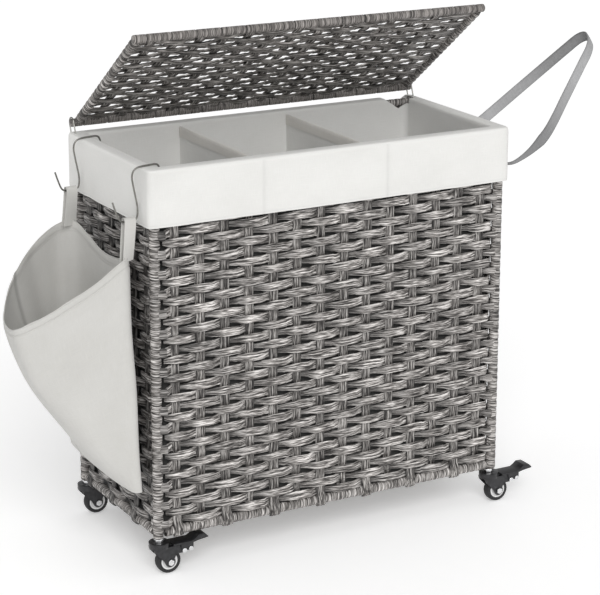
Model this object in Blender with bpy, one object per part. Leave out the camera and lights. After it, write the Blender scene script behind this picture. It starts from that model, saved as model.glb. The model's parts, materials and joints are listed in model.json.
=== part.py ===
# Laundry sorter on wheels: woven basket on a tube frame, three-part liner, hinged lid, side bag and casters.
# Metres, +Z up, +X to the right, the front faces -Y. The floor is z = 0.
import math

import bmesh
import bpy
from mathutils import Matrix, Vector

# Driving dimensions
BASKET_WIDTH = 0.660
BASKET_DEPTH = 0.310
CASTER_HEIGHT = 0.062
FRAME_HEIGHT = 0.607
RIM_Z = CASTER_HEIGHT + FRAME_HEIGHT
GAP = 0.0004

# The middle of the whole outline, from the basket's front left corner: the part's origin on the floor
OUTLINE_MIDDLE = Vector((0.3708, 0.1565, 0.0))

# Frame
POST_RADIUS = 0.009
POST_BORE = 0.0056
POST_INSET = 0.012
POST_TOP_DROP = 0.018
TOP_RAIL_RADIUS = 0.007
TOP_RAIL_INSET = 0.0115
BOTTOM_RAIL_RADIUS = 0.008
BOTTOM_RAIL_INSET = 0.0107
RAIL_END = 0.0218
PANEL_FACE = 0.005
PANEL_THICKNESS = 0.009
BASE_BOARD_THICKNESS = 0.005
BASE_BOARD_Z = CASTER_HEIGHT + 0.005

# Liner
LINER_INSET = 0.0192
CLOTH = 0.0016
LINER_FLOOR_Z = BASE_BOARD_Z + BASE_BOARD_THICKNESS + 0.001
LINER_CORNER = 0.012
CUFF_HEIGHT = 0.089
CUFF_STAND_OFF = 0.0036
CUFF_TOP_Z = RIM_Z + 0.0026
DIVIDER_THICKNESS = 0.003
DIVIDER_POSITIONS = (0.192, 0.397)
NOTCH_CENTRE = 0.625
NOTCH_HALF_WIDTH = 0.028
NOTCH_DEPTH = 0.019

# Lid
LID_OPEN_AT_REST = math.radians(36.5)
LID_REACH = 0.296
LID_RAIL_RADIUS = 0.007
LID_SIDE_RADIUS = 0.0065
LID_SIDE_INSET = 0.0125
LID_PANEL_THICKNESS = 0.006
LID_AXIS = Vector((0.0, BASKET_DEPTH - 0.002, RIM_Z + 0.0185))
LINK_WIRE = 0.0012
LINK_INSET = 0.003

# Side bag and its hooks
HOOK_WIRE = 0.0015
HOOK_ROWS = {"front": 0.026, "rear": 0.252}
HOOK_BOTTOM_Z = RIM_Z - 0.0805
HOOK_MIDDLE_X = -0.0250
TAB_WIDTH = 0.019
TAB_CLOTH = 0.0014
TAB_LENGTH = 0.0495
BAG_AXIS = Vector((HOOK_MIDDLE_X, 0.0, HOOK_BOTTOM_Z))
BAG_CLOTH = 0.0018
BAG_BOTTOM_Z = 0.147
BAG_DRAW_IN = 1.5

# Pull strap
STRAP_AXIS = Vector((BASKET_WIDTH + 0.0112, 0.0, RIM_Z - 0.067))
STRAP_TILT = math.radians(34.0)
STRAP_WIDTH = 0.020
STRAP_THICKNESS = 0.0018
STRAP_END_WIDTHS = (0.004, 0.008)
STRAP_TAPERS = (0.100, 0.035)
PATCH_SPANS = {"front": (0.040, 0.080), "rear": (0.226, 0.266)}
PATCH_THICKNESS = 0.0016
# The loop's centre line: how far back it is, and how far out from the line its ends turn about
STRAP_ROUTE = ((0.040, 0.0), (0.022, 0.001), (0.006, 0.009), (-0.002, 0.030), (-0.003, 0.056), (0.003, 0.086),
               (0.020, 0.121), (0.047, 0.167), (0.072, 0.211), (0.096, 0.254), (0.114, 0.286), (0.134, 0.308),
               (0.155, 0.317), (0.168, 0.306), (0.171, 0.275), (0.173, 0.225), (0.175, 0.170), (0.177, 0.113),
               (0.179, 0.070), (0.182, 0.035), (0.190, 0.010), (0.206, 0.001), (0.224, 0.0))

# Caster
WHEEL_RADIUS = 0.0205
WHEEL_WIDTH = 0.017
TYRE_BORE = 0.0146
HUB_RADIUS = 0.0143
AXLE_RADIUS = 0.0028
TRAIL = 0.015
CUP_RADIUS = 0.017
CUP_LOW = 0.0455
CUP_HIGH = 0.0550
STEM_RADIUS = 0.0050
STEM_NUT_RADIUS = 0.0085
STEM_REACH = 0.024
FORK_INNER = 0.0096
FORK_OUTER = 0.0114
PEDAL_PIVOT = Vector((0.0390, 0.0, 0.0370))
PEDAL_PIN_RADIUS = 0.0020
PEDAL_LUG_INNER = 0.0118
PEDAL_LUG_OUTER = 0.0132
CASTER_CORNERS = {"front_left": (0, 0), "front_right": (1, 0), "rear_left": (0, 1), "rear_right": (1, 1)}

ROUND = 16


# Helpers

def paint(name, colour, roughness, metallic):
    material = bpy.data.materials.get(name)
    if material is None:
        material = bpy.data.materials.new(name)
        material.use_nodes = True
        shader = material.node_tree.nodes["Principled BSDF"]
        shader.inputs["Base Color"].default_value = (*colour, 1.0)
        shader.inputs["Roughness"].default_value = roughness
        shader.inputs["Metallic"].default_value = metallic
    return material


def strand():
    return paint("grey_strand", (0.22, 0.20, 0.185), 0.55, 0.0)


def cloth():
    return paint("liner_cloth", (0.80, 0.79, 0.75), 0.9, 0.0)


def webbing():
    return paint("strap_webbing", (0.42, 0.42, 0.43), 0.45, 0.0)


def wire():
    return paint("hook_wire", (0.35, 0.35, 0.34), 0.35, 0.9)


def black_steel():
    return paint("black_steel", (0.02, 0.02, 0.022), 0.35, 0.3)


def bright_steel():
    return paint("bright_steel", (0.75, 0.75, 0.76), 0.25, 1.0)


def tyre_rubber():
    return paint("tyre_rubber", (0.015, 0.015, 0.016), 0.7, 0.0)


def hub_plastic():
    return paint("hub_plastic", (0.7, 0.7, 0.7), 0.4, 0.0)


def face_outwards(shape):
    bmesh.ops.recalc_face_normals(shape, faces=shape.faces)
    if shape.calc_volume(signed=True) < 0.0:
        bmesh.ops.reverse_faces(shape, faces=shape.faces)


def add_piece(name, mesh_builder, pivot, material, turn=None):
    """Puts a closed mesh in the scene with its origin at the pivot, and shades it smooth."""
    bmesh.ops.translate(mesh_builder, verts=mesh_builder.verts, vec=-pivot)
    face_outwards(mesh_builder)
    mesh = bpy.data.meshes.new(name)
    mesh_builder.to_mesh(mesh)
    mesh_builder.free()
    return add_mesh(name, mesh, pivot, material, turn)


def add_mesh(name, mesh, pivot, material, turn=None):
    mesh.materials.clear()
    mesh.materials.append(material)
    mesh.shade_smooth()
    mesh.set_sharp_from_angle(angle=math.radians(35.0))
    piece = bpy.data.objects.new(name, mesh)
    bpy.context.scene.collection.objects.link(piece)
    piece.location = pivot - OUTLINE_MIDDLE
    if turn is not None:
        piece.rotation_euler = turn
    return piece


def box(low, high, bevel=0.0):
    shape = bmesh.new()
    low, high = Vector(low), Vector(high)
    size = high - low
    bmesh.ops.create_cube(shape, size=1.0)
    bmesh.ops.scale(shape, vec=size, verts=shape.verts)
    bmesh.ops.translate(shape, vec=(low + high) / 2, verts=shape.verts)
    if bevel > 0.0:
        bmesh.ops.bevel(shape, geom=shape.edges[:], offset=bevel, segments=1, affect="EDGES")
    return shape


def rod(start, end, radius, segments=ROUND):
    shape = bmesh.new()
    start, end = Vector(start), Vector(end)
    along = end - start
    turn = along.to_track_quat("Z", "Y").to_matrix().to_4x4()
    place = Matrix.Translation((start + end) / 2) @ turn
    bmesh.ops.create_cone(shape, cap_ends=True, segments=segments, radius1=radius, radius2=radius,
                          depth=along.length, matrix=place)
    return shape


def loft(rings, closed_section=False):
    """Joins rings of equal point counts with quads. The ends are capped unless the section closes on itself."""
    shape = bmesh.new()
    rows = [[shape.verts.new(point) for point in ring] for ring in rings]
    count = len(rows[0])
    pairs = list(zip(rows, rows[1:]))
    if closed_section:
        pairs.append((rows[-1], rows[0]))
    for lower, upper in pairs:
        for index in range(count):
            after = (index + 1) % count
            shape.faces.new((lower[index], lower[after], upper[after], upper[index]))
    if not closed_section:
        shape.faces.new(rows[0])
        shape.faces.new(rows[-1])
    return shape


def turned(profile, centre, segments=24):
    """A ring about the Y axis through centre; the profile's points are (radius, y) and close on themselves."""
    rings = []
    for radius, across in profile:
        ring = []
        for step in range(segments):
            angle = math.tau * step / segments
            ring.append(centre + Vector((radius * math.cos(angle), across, radius * math.sin(angle))))
        rings.append(ring)
    return loft(rings, closed_section=True)


def rounded_rectangle(inset, corner, z, steps=4):
    """A rounded rectangle this far inside the basket's outline."""
    corner = max(corner, 0.002)
    x_low, x_high = inset + corner, BASKET_WIDTH - inset - corner
    y_low, y_high = inset + corner, BASKET_DEPTH - inset - corner
    centres = ((x_high, y_high), (x_low, y_high), (x_low, y_low), (x_high, y_low))
    points = []
    for quarter, (x, y) in enumerate(centres):
        for step in range(steps + 1):
            angle = math.pi / 2 * (quarter + step / steps)
            points.append(Vector((x + corner * math.cos(angle), y + corner * math.sin(angle), z)))
    return points


def extruded(outline, low, high):
    """A flat (x, z) outline made solid from y = low to y = high."""
    return loft([[Vector((x, y, z)) for x, z in outline] for y in (low, high)])


def arc(centre, radius, start, end, steps):
    """Points on an arc in the (x, z) plane, angles in degrees."""
    angles = [math.radians(start + (end - start) * step / steps) for step in range(steps + 1)]
    return [(centre[0] + radius * math.cos(a), centre[1] + radius * math.sin(a)) for a in angles]


def temporary(shape):
    face_outwards(shape)
    mesh = bpy.data.meshes.new("shape")
    shape.to_mesh(mesh)
    shape.free()
    holder = bpy.data.objects.new("shape", mesh)
    bpy.context.scene.collection.objects.link(holder)
    return holder


def fused(base, joined=(), cut=()):
    """One mesh from a base shape with others joined to it and then cut out of it."""
    body = temporary(base)
    others = []
    for operation, shapes in (("UNION", joined), ("DIFFERENCE", cut)):
        for shape in shapes:
            other = temporary(shape)
            modifier = body.modifiers.new("join", "BOOLEAN")
            modifier.operation = operation
            modifier.object = other
            modifier.solver = "EXACT"
            others.append(other)
    bpy.context.view_layer.update()
    graph = bpy.context.evaluated_depsgraph_get()
    mesh = bpy.data.meshes.new_from_object(body.evaluated_get(graph))
    for holder in [body, *others]:
        spent = holder.data
        bpy.data.objects.remove(holder, do_unlink=True)
        bpy.data.meshes.remove(spent)
    return mesh


def curved_wire(name, points, radius, pivot, material, cyclic=False, resolution=2):
    """A round wire along a smooth line of points."""
    curve = bpy.data.curves.new(name, "CURVE")
    curve.dimensions = "3D"
    curve.bevel_depth = radius
    curve.bevel_resolution = resolution
    curve.use_fill_caps = True
    spline = curve.splines.new("POLY")
    spline.points.add(len(points) - 1)
    for spot, point in zip(spline.points, points):
        spot.co = (*(Vector(point) - pivot), 1.0)
    spline.use_cyclic_u = cyclic
    curve.materials.append(material)
    piece = bpy.data.objects.new(name, curve)
    bpy.context.scene.collection.objects.link(piece)
    piece.location = pivot - OUTLINE_MIDDLE
    return piece


def smooth_line(points, per_span=4):
    """A Catmull-Rom curve through the points."""
    points = [Vector(point) for point in points]
    padded = [2 * points[0] - points[1], *points, 2 * points[-1] - points[-2]]
    line = []
    for a, b, c, d in zip(padded, padded[1:], padded[2:], padded[3:]):
        for step in range(per_span):
            t = step / per_span
            line.append(0.5 * (2 * b + (c - a) * t + (2 * a - 5 * b + 4 * c - d) * t * t
                               + (3 * b - a - 3 * c + d) * t ** 3))
    line.append(points[-1])
    return line


# Basket

def make_frame():
    for corner, (right, back) in CASTER_CORNERS.items():
        x = BASKET_WIDTH - POST_INSET if right else POST_INSET
        y = BASKET_DEPTH - POST_INSET if back else POST_INSET
        foot = Vector((x, y, CASTER_HEIGHT))
        top = Vector((x, y, RIM_Z - POST_TOP_DROP))
        below, above = foot - Vector((0, 0, 0.01)), top + Vector((0, 0, 0.01))
        tube = fused(rod(foot, top, POST_RADIUS), cut=[rod(below, above, POST_BORE)])
        tube.transform(Matrix.Translation(-foot))
        add_mesh("post_" + corner, tube, foot, strand())
    for back, side in enumerate(("front", "rear")):
        y = BASKET_DEPTH - TOP_RAIL_INSET if back else TOP_RAIL_INSET
        z = RIM_Z - TOP_RAIL_RADIUS
        rail = rod((0.001, y, z), (BASKET_WIDTH - 0.001, y, z), TOP_RAIL_RADIUS)
        add_piece("top_rail_" + side, rail, Vector((0, y, z)), strand())
        y = BASKET_DEPTH - BOTTOM_RAIL_INSET if back else BOTTOM_RAIL_INSET
        z = CASTER_HEIGHT + BOTTOM_RAIL_RADIUS
        rail = rod((RAIL_END, y, z), (BASKET_WIDTH - RAIL_END, y, z), BOTTOM_RAIL_RADIUS)
        add_piece("bottom_rail_" + side, rail, Vector((0, y, z)), strand())
    side_start = TOP_RAIL_INSET + TOP_RAIL_RADIUS + GAP
    for right, side in enumerate(("left", "right")):
        x = BASKET_WIDTH - TOP_RAIL_INSET if right else TOP_RAIL_INSET
        z = RIM_Z - TOP_RAIL_RADIUS
        rail = rod((x, side_start, z), (x, BASKET_DEPTH - side_start, z), TOP_RAIL_RADIUS)
        add_piece("top_rail_" + side, rail, Vector((x, 0, z)), strand())
        x = BASKET_WIDTH - BOTTOM_RAIL_INSET if right else BOTTOM_RAIL_INSET
        z = CASTER_HEIGHT + BOTTOM_RAIL_RADIUS
        rail = rod((x, RAIL_END, z), (x, BASKET_DEPTH - RAIL_END, z), BOTTOM_RAIL_RADIUS)
        add_piece("bottom_rail_" + side, rail, Vector((x, 0, z)), strand())
    make_woven_panels()
    low = RAIL_END + 0.0005
    board = box((low, low, BASE_BOARD_Z),
                (BASKET_WIDTH - low, BASKET_DEPTH - low, BASE_BOARD_Z + BASE_BOARD_THICKNESS))
    add_piece("base_board", board, Vector((0, 0, BASE_BOARD_Z)), black_steel())


def make_woven_panels():
    low_z = CASTER_HEIGHT + 2 * BOTTOM_RAIL_RADIUS + GAP
    high_z = RIM_Z - 2 * TOP_RAIL_RADIUS - GAP
    near, far = PANEL_FACE, PANEL_FACE + PANEL_THICKNESS
    across = BASKET_WIDTH - RAIL_END
    deep = BASKET_DEPTH - RAIL_END
    spans = {
        "front": ((RAIL_END, near, low_z), (across, far, high_z)),
        "rear": ((RAIL_END, BASKET_DEPTH - far, low_z), (across, BASKET_DEPTH - near, high_z)),
        "left": ((near, RAIL_END, low_z), (far, deep, high_z)),
        "right": ((BASKET_WIDTH - far, RAIL_END, low_z), (BASKET_WIDTH - near, deep, high_z)),
    }
    for side, (low, high) in spans.items():
        add_piece("woven_panel_" + side, box(low, high, bevel=0.001), Vector(), strand())


# Liner

def rim_cutters():
    """The slits for the hinge links at both rear corners, and the notch in the rear wall."""
    slit_half = LINK_WIRE + 0.0012
    back_low, back_high = BASKET_DEPTH - 0.031, BASKET_DEPTH + 0.012
    cutters = []
    for x in (LINK_INSET, BASKET_WIDTH - LINK_INSET):
        cutters.append(box((x - slit_half, back_low, RIM_Z - 0.024), (x + slit_half, back_high, RIM_Z + 0.02)))
    slope = NOTCH_HALF_WIDTH / NOTCH_DEPTH
    top_half = slope * (NOTCH_DEPTH + 0.01)
    outline = [(NOTCH_CENTRE - top_half, CUFF_TOP_Z + 0.01), (NOTCH_CENTRE + top_half, CUFF_TOP_Z + 0.01),
               (NOTCH_CENTRE, CUFF_TOP_Z - NOTCH_DEPTH)]
    reach = BASKET_WIDTH - LINER_INSET - 0.002
    outline[1] = (min(outline[1][0], reach), outline[1][1])
    cutters.append(extruded(outline, back_low, back_high))
    return cutters


def make_liner():
    inner = LINER_INSET + CLOTH
    top = RIM_Z + 0.0004
    floor = LINER_FLOOR_Z
    bag = loft([
        rounded_rectangle(inner, LINER_CORNER - CLOTH, floor + CLOTH),
        rounded_rectangle(inner, LINER_CORNER - CLOTH, top),
        rounded_rectangle(LINER_INSET, LINER_CORNER, top),
        rounded_rectangle(LINER_INSET, LINER_CORNER, floor),
    ])
    add_mesh("liner_bag", fused(bag, cut=rim_cutters()), Vector((0, 0, 0)), cloth())
    lip_low = CUFF_TOP_Z - CLOTH
    outside = -CUFF_STAND_OFF
    skirt_low = RIM_Z - CUFF_HEIGHT
    cuff = loft([
        rounded_rectangle(inner, LINER_CORNER - CLOTH, lip_low),
        rounded_rectangle(inner, LINER_CORNER - CLOTH, CUFF_TOP_Z),
        rounded_rectangle(outside, 0.008, CUFF_TOP_Z),
        rounded_rectangle(outside, 0.008, skirt_low),
        rounded_rectangle(outside + CLOTH, 0.0064, skirt_low),
        rounded_rectangle(outside + CLOTH, 0.0064, lip_low),
    ], closed_section=True)
    add_mesh("liner_cuff", fused(cuff, cut=rim_cutters()), Vector((0, 0, 0)), cloth())
    for name, x in zip(("liner_divider_left", "liner_divider_right"), DIVIDER_POSITIONS):
        y_low = inner + GAP
        divider = box((x - DIVIDER_THICKNESS / 2, y_low, floor + CLOTH + GAP),
                      (x + DIVIDER_THICKNESS / 2, BASKET_DEPTH - y_low, RIM_Z - 0.004))
        add_piece(name, divider, Vector((x, 0, 0)), cloth())


# Lid

def make_lid():
    """The lid is built shut, then turned up about its rear rail's centre line."""
    turn = (-LID_OPEN_AT_REST, 0.0, 0.0)
    axis_y, axis_z = LID_AXIS.y, LID_AXIS.z
    front_y = axis_y - LID_REACH
    rear = rod((0.0008, axis_y, axis_z), (BASKET_WIDTH - 0.0008, axis_y, axis_z), LID_RAIL_RADIUS)
    add_piece("lid_rail_rear", rear, LID_AXIS, strand(), turn)
    edge = LID_SIDE_INSET - LID_SIDE_RADIUS
    front = rod((edge, front_y, axis_z), (BASKET_WIDTH - edge, front_y, axis_z), LID_RAIL_RADIUS)
    add_piece("lid_rail_front", front, LID_AXIS, strand(), turn)
    start, end = axis_y - LID_RAIL_RADIUS - GAP, front_y + LID_RAIL_RADIUS + GAP
    for side, x in (("left", LID_SIDE_INSET), ("right", BASKET_WIDTH - LID_SIDE_INSET)):
        rail = rod((x, start, axis_z), (x, end, axis_z), LID_SIDE_RADIUS)
        add_piece("lid_rail_" + side, rail, LID_AXIS, strand(), turn)
    inset = LID_SIDE_INSET + LID_SIDE_RADIUS + GAP
    half = LID_PANEL_THICKNESS / 2
    panel = box((inset, end, axis_z - half), (BASKET_WIDTH - inset, start, axis_z + half), bevel=0.001)
    add_piece("lid_woven_panel", panel, LID_AXIS, strand(), turn)


def make_hinge_links():
    """Wire loops round the lid's rear rail and the basket's rear top rail."""
    lower = Vector((BASKET_DEPTH - TOP_RAIL_INSET, RIM_Z - TOP_RAIL_RADIUS))
    upper = Vector((LID_AXIS.y, LID_AXIS.z))
    radius = LID_RAIL_RADIUS + LINK_WIRE + 0.0007
    tilt = math.atan2(upper.y - lower.y, upper.x - lower.x)
    steps = 10
    for side, x in (("left", LINK_INSET), ("right", BASKET_WIDTH - LINK_INSET)):
        points = []
        for centre, start in ((upper, tilt - math.pi / 2), (lower, tilt + math.pi / 2)):
            for step in range(steps + 1):
                angle = start + math.pi * step / steps
                points.append((x, centre.x + radius * math.cos(angle), centre.y + radius * math.sin(angle)))
        curved_wire("hinge_link_" + side, points, LINK_WIRE, Vector((x, lower.x, lower.y)), wire(), cyclic=True)


# Pull strap

def strap_point(back, out):
    return STRAP_AXIS + Vector((out * math.cos(STRAP_TILT), back, out * math.sin(STRAP_TILT)))


def make_pull_strap():
    across = Vector((-math.sin(STRAP_TILT), 0.0, math.cos(STRAP_TILT)))
    line = smooth_line([strap_point(back, out) for back, out in STRAP_ROUTE], per_span=3)
    travelled = [0.0]
    for before, after in zip(line, line[1:]):
        travelled.append(travelled[-1] + (after - before).length)
    rings = []
    for index, point in enumerate(line):
        before, after = line[max(index - 1, 0)], line[min(index + 1, len(line) - 1)]
        thick = (after - before).normalized().cross(across) * STRAP_THICKNESS / 2
        front_share = min(travelled[index] / STRAP_TAPERS[0], 1.0) ** 2
        rear_share = min((travelled[-1] - travelled[index]) / STRAP_TAPERS[1], 1.0)
        front_width = STRAP_END_WIDTHS[0] + (STRAP_WIDTH - STRAP_END_WIDTHS[0]) * front_share
        rear_width = STRAP_END_WIDTHS[1] + (STRAP_WIDTH - STRAP_END_WIDTHS[1]) * rear_share
        side = across * min(front_width, rear_width) / 2
        rings.append([point - side - thick, point + side - thick, point + side + thick, point - side + thick])
    add_piece("pull_strap", loft(rings), STRAP_AXIS, webbing())
    face = BASKET_WIDTH + CUFF_STAND_OFF + GAP
    z = STRAP_AXIS.z
    half = STRAP_WIDTH / 2
    for side, (start, end) in PATCH_SPANS.items():
        patch = box((face, start, z - half), (face + PATCH_THICKNESS, end, z + half), bevel=0.0003)
        add_piece("strap_patch_" + side, patch, Vector((face, 0, z)), webbing())


# Side bag

def make_hooks():
    """Each hook goes over the rim, down outside the cuff, under the bag's tab and up to a free end."""
    rim = CUFF_TOP_Z + HOOK_WIRE + GAP
    bottom = HOOK_BOTTOM_Z
    outline = ((0.0290, rim - 0.014), (0.0285, rim - 0.006), (0.0235, rim + 0.0006), (0.0100, rim + 0.0008),
               (-0.0060, rim - 0.0005), (-0.0150, rim - 0.0050), (-0.0185, rim - 0.0150),
               (-0.0165, rim - 0.0300), (-0.0125, rim - 0.0500), (-0.0100, rim - 0.0650),
               (-0.0108, bottom + 0.0065), (-0.0150, bottom + 0.0010), (-0.0250, bottom), (-0.0350, bottom + 0.0005),
               (-0.0415, bottom + 0.0050), (-0.0470, bottom + 0.0180), (-0.0520, bottom + 0.0330))
    for side, y in HOOK_ROWS.items():
        points = smooth_line([(x, y, z) for x, z in outline], per_span=3)
        curved_wire("bag_hook_" + side, points, HOOK_WIRE, Vector((HOOK_MIDDLE_X, y, bottom)), wire())


def make_tabs():
    """A folded strip of cloth over each hook, with room for the wire to tilt."""
    half = TAB_WIDTH / 2
    inner = HOOK_WIRE + 0.0035
    outer = inner + TAB_CLOTH
    low = HOOK_BOTTOM_Z - TAB_LENGTH
    for side, y in HOOK_ROWS.items():
        loop = []
        hole = []
        for step in range(9):
            angle = math.pi * step / 8
            spot = Vector((0.0, y + outer * math.cos(angle), HOOK_BOTTOM_Z + outer * math.sin(angle)))
            loop.append(spot)
        loop.append(Vector((0.0, y - 0.0016, low + 0.020)))
        loop.append(Vector((0.0, y - 0.0016, low)))
        loop.append(Vector((0.0, y + 0.0016, low)))
        loop.append(Vector((0.0, y + 0.0016, low + 0.020)))
        for step in range(9):
            angle = math.pi * step / 8
            hole.append(Vector((0.0, y + inner * math.cos(angle), HOOK_BOTTOM_Z + inner * math.sin(angle))))
        hole.append(Vector((0.0, y - 0.0012, low + 0.024)))
        hole.append(Vector((0.0, y + 0.0012, low + 0.024)))
        shift = Vector((HOOK_MIDDLE_X, 0.0, 0.0))
        across = Vector((half, 0.0, 0.0))
        body = loft([[spot + shift - across for spot in loop], [spot + shift + across for spot in loop]])
        cutter = loft([[spot + shift - 2 * across for spot in hole], [spot + shift + 2 * across for spot in hole]])
        pivot = Vector((HOOK_MIDDLE_X, y, HOOK_BOTTOM_Z))
        tab = fused(body, cut=[cutter])
        tab.transform(Matrix.Translation(-pivot))
        add_mesh("bag_tab_" + side, tab, pivot, cloth())


# The pouch's mouth, seen from above and anticlockwise: x, y, z. It hangs open and slopes down to the left.
POUCH_MOUTH = ((-0.012, 0.060, 0.520), (-0.010, 0.110, 0.508), (-0.010, 0.165, 0.507), (-0.012, 0.215, 0.522),
               (-0.022, 0.250, 0.538), (-0.048, 0.262, 0.532), (-0.085, 0.255, 0.512), (-0.120, 0.235, 0.488),
               (-0.158, 0.200, 0.456), (-0.186, 0.155, 0.428), (-0.197, 0.110, 0.418), (-0.190, 0.078, 0.426),
               (-0.160, 0.058, 0.444), (-0.120, 0.040, 0.470), (-0.075, 0.024, 0.502), (-0.035, 0.018, 0.532))
# The line that its bottom seam follows, point for point with the mouth: x, y.
POUCH_FOOT = ((-0.0135, 0.050), (-0.013, 0.105), (-0.013, 0.162), (-0.013, 0.213),
              (-0.014, 0.255), (-0.020, 0.276), (-0.029, 0.266), (-0.033, 0.232),
              (-0.036, 0.186), (-0.037, 0.141), (-0.037, 0.096), (-0.036, 0.061),
              (-0.034, 0.036), (-0.032, 0.018), (-0.026, 0.008), (-0.016, 0.013))
POUCH_RINGS = 10


def pouch_rings(shrink):
    """Rings from mouth to bottom. The cloth hangs straight down first, then draws in to the bottom seam."""
    mouth = smooth_loop(POUCH_MOUTH, 2)
    foot = smooth_loop([(x, y, BAG_BOTTOM_Z) for x, y in POUCH_FOOT], 2)
    rings = []
    for level in range(POUCH_RINGS + 1):
        share = level / POUCH_RINGS
        draw_in = share ** BAG_DRAW_IN
        ring = []
        for top, low in zip(mouth, foot):
            flat = top.lerp(low, draw_in)
            flat.z = top.z + (low.z - top.z) * share
            ring.append(flat)
        if shrink > 0.0:
            ring = [inset_point(ring, index, shrink) for index in range(len(ring))]
            if level == POUCH_RINGS:
                for point in ring:
                    point.z += shrink
        rings.append(ring)
    return rings


def inset_point(ring, index, distance):
    before, after = ring[index - 1], ring[(index + 1) % len(ring)]
    along = after - before
    inward = Vector((along.y, -along.x, 0.0)).normalized()
    return ring[index] + inward * distance


def smooth_loop(points, per_span):
    points = [Vector(point) for point in points]
    count = len(points)
    line = []
    for index in range(count):
        a, b, c, d = (points[(index + offset) % count] for offset in (-1, 0, 1, 2))
        for step in range(per_span):
            t = step / per_span
            line.append(0.5 * (2 * b + (c - a) * t + (2 * a - 5 * b + 4 * c - d) * t * t
                               + (3 * b - a - 3 * c + d) * t ** 3))
    return line


def make_pouch():
    outside = pouch_rings(0.0)
    inside = pouch_rings(BAG_CLOTH)
    pouch = loft(list(reversed(inside)) + outside)
    bmesh.ops.triangulate(pouch, faces=pouch.faces[:])
    add_piece("bag_pouch", pouch, BAG_AXIS, cloth())


# Casters

def make_fork_mesh():
    """The swivel cup, two cheeks down to the axle, and the arms that carry the brake pedal's pins."""
    axle = (TRAIL, WHEEL_RADIUS)
    cheek = [(-0.0140, CUP_LOW + 0.001), (-0.0120, 0.0400), (0.0035, 0.0235)]
    cheek += arc(axle, 0.0088, 215.0, 395.0, 8)
    cheek += [(0.0262, 0.0325), (0.0435, 0.0330), (0.0455, 0.0360), (0.0455, 0.0420), (0.0400, CUP_LOW + 0.001)]
    cup = rod((0, 0, CUP_LOW), (0, 0, CUP_HIGH), CUP_RADIUS, segments=24)
    inside = 0.0004
    roof = box((-0.0116, -FORK_OUTER + inside, 0.0432), (0.0400 - inside, FORK_OUTER - inside, CUP_LOW + 0.0006))
    joined = [roof, extruded(cheek, FORK_INNER, FORK_OUTER), extruded(cheek, -FORK_OUTER, -FORK_INNER)]
    for side in (-1, 1):
        joined.append(rod((PEDAL_PIVOT.x, side * (FORK_INNER + inside), PEDAL_PIVOT.z),
                          (PEDAL_PIVOT.x, side * (PEDAL_LUG_OUTER + 0.0008), PEDAL_PIVOT.z), PEDAL_PIN_RADIUS, 10))
    bore = rod((0, 0, CUP_LOW - 0.01), (0, 0, CUP_HIGH + 0.01), STEM_RADIUS + 0.0006)
    axle_hole = rod((TRAIL, -0.02, WHEEL_RADIUS), (TRAIL, 0.02, WHEEL_RADIUS), AXLE_RADIUS + GAP, 12)
    return fused(cup, joined=joined, cut=[bore, axle_hole])


def make_pedal_mesh():
    """A tread plate with a raised ribbed toe, and a long lug with a pin hole outside each arm of the fork."""
    plate = [(0.0200, 0.0475), (0.0560, 0.0475), (0.0640, 0.0493), (0.0815, 0.0513), (0.0825, 0.0528),
             (0.0770, 0.0583), (0.0660, 0.0588), (0.0600, 0.0538), (0.0540, 0.0505), (0.0200, 0.0505)]
    tread = extruded(plate, -PEDAL_LUG_OUTER, PEDAL_LUG_OUTER)
    lug = arc((PEDAL_PIVOT.x, PEDAL_PIVOT.z), 0.0042, 180.0, 360.0, 6)
    lug_top = plate[0][1] + 0.001
    lug += [(PEDAL_PIVOT.x + 0.0135, PEDAL_PIVOT.z - 0.0036), (PEDAL_PIVOT.x + 0.0165, PEDAL_PIVOT.z),
            (PEDAL_PIVOT.x + 0.0165, lug_top), (PEDAL_PIVOT.x - 0.0060, lug_top)]
    lugs = [extruded(lug, PEDAL_LUG_INNER, PEDAL_LUG_OUTER), extruded(lug, -PEDAL_LUG_OUTER, -PEDAL_LUG_INNER)]
    hole = rod((PEDAL_PIVOT.x, -0.03, PEDAL_PIVOT.z), (PEDAL_PIVOT.x, 0.03, PEDAL_PIVOT.z),
               PEDAL_PIN_RADIUS + GAP, 10)
    mesh = fused(tread, joined=lugs, cut=[hole])
    mesh.transform(Matrix.Translation(-PEDAL_PIVOT))
    return mesh


def make_axle_mesh():
    """A bolt through the wheel: shank, hexagonal head in front and nut behind."""
    reach = FORK_OUTER + GAP
    shank = rod((0, -reach - 0.001, 0), (0, reach + 0.001, 0), AXLE_RADIUS, 12)
    head = rod((0, -reach - 0.0035, 0), (0, -reach, 0), 0.0055, 6)
    nut = rod((0, reach, 0), (0, reach + 0.0035, 0), 0.0055, 6)
    return fused(shank, joined=[head, nut])


def make_stem_mesh():
    """The threaded stem with its lock nut under the post."""
    top = CASTER_HEIGHT + STEM_REACH
    shank = rod((0, 0, CUP_LOW + 0.002), (0, 0, top), STEM_RADIUS)
    nut = rod((0, 0, CUP_HIGH + GAP), (0, 0, CASTER_HEIGHT - GAP), STEM_NUT_RADIUS, 6)
    return fused(shank, joined=[nut])


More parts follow.
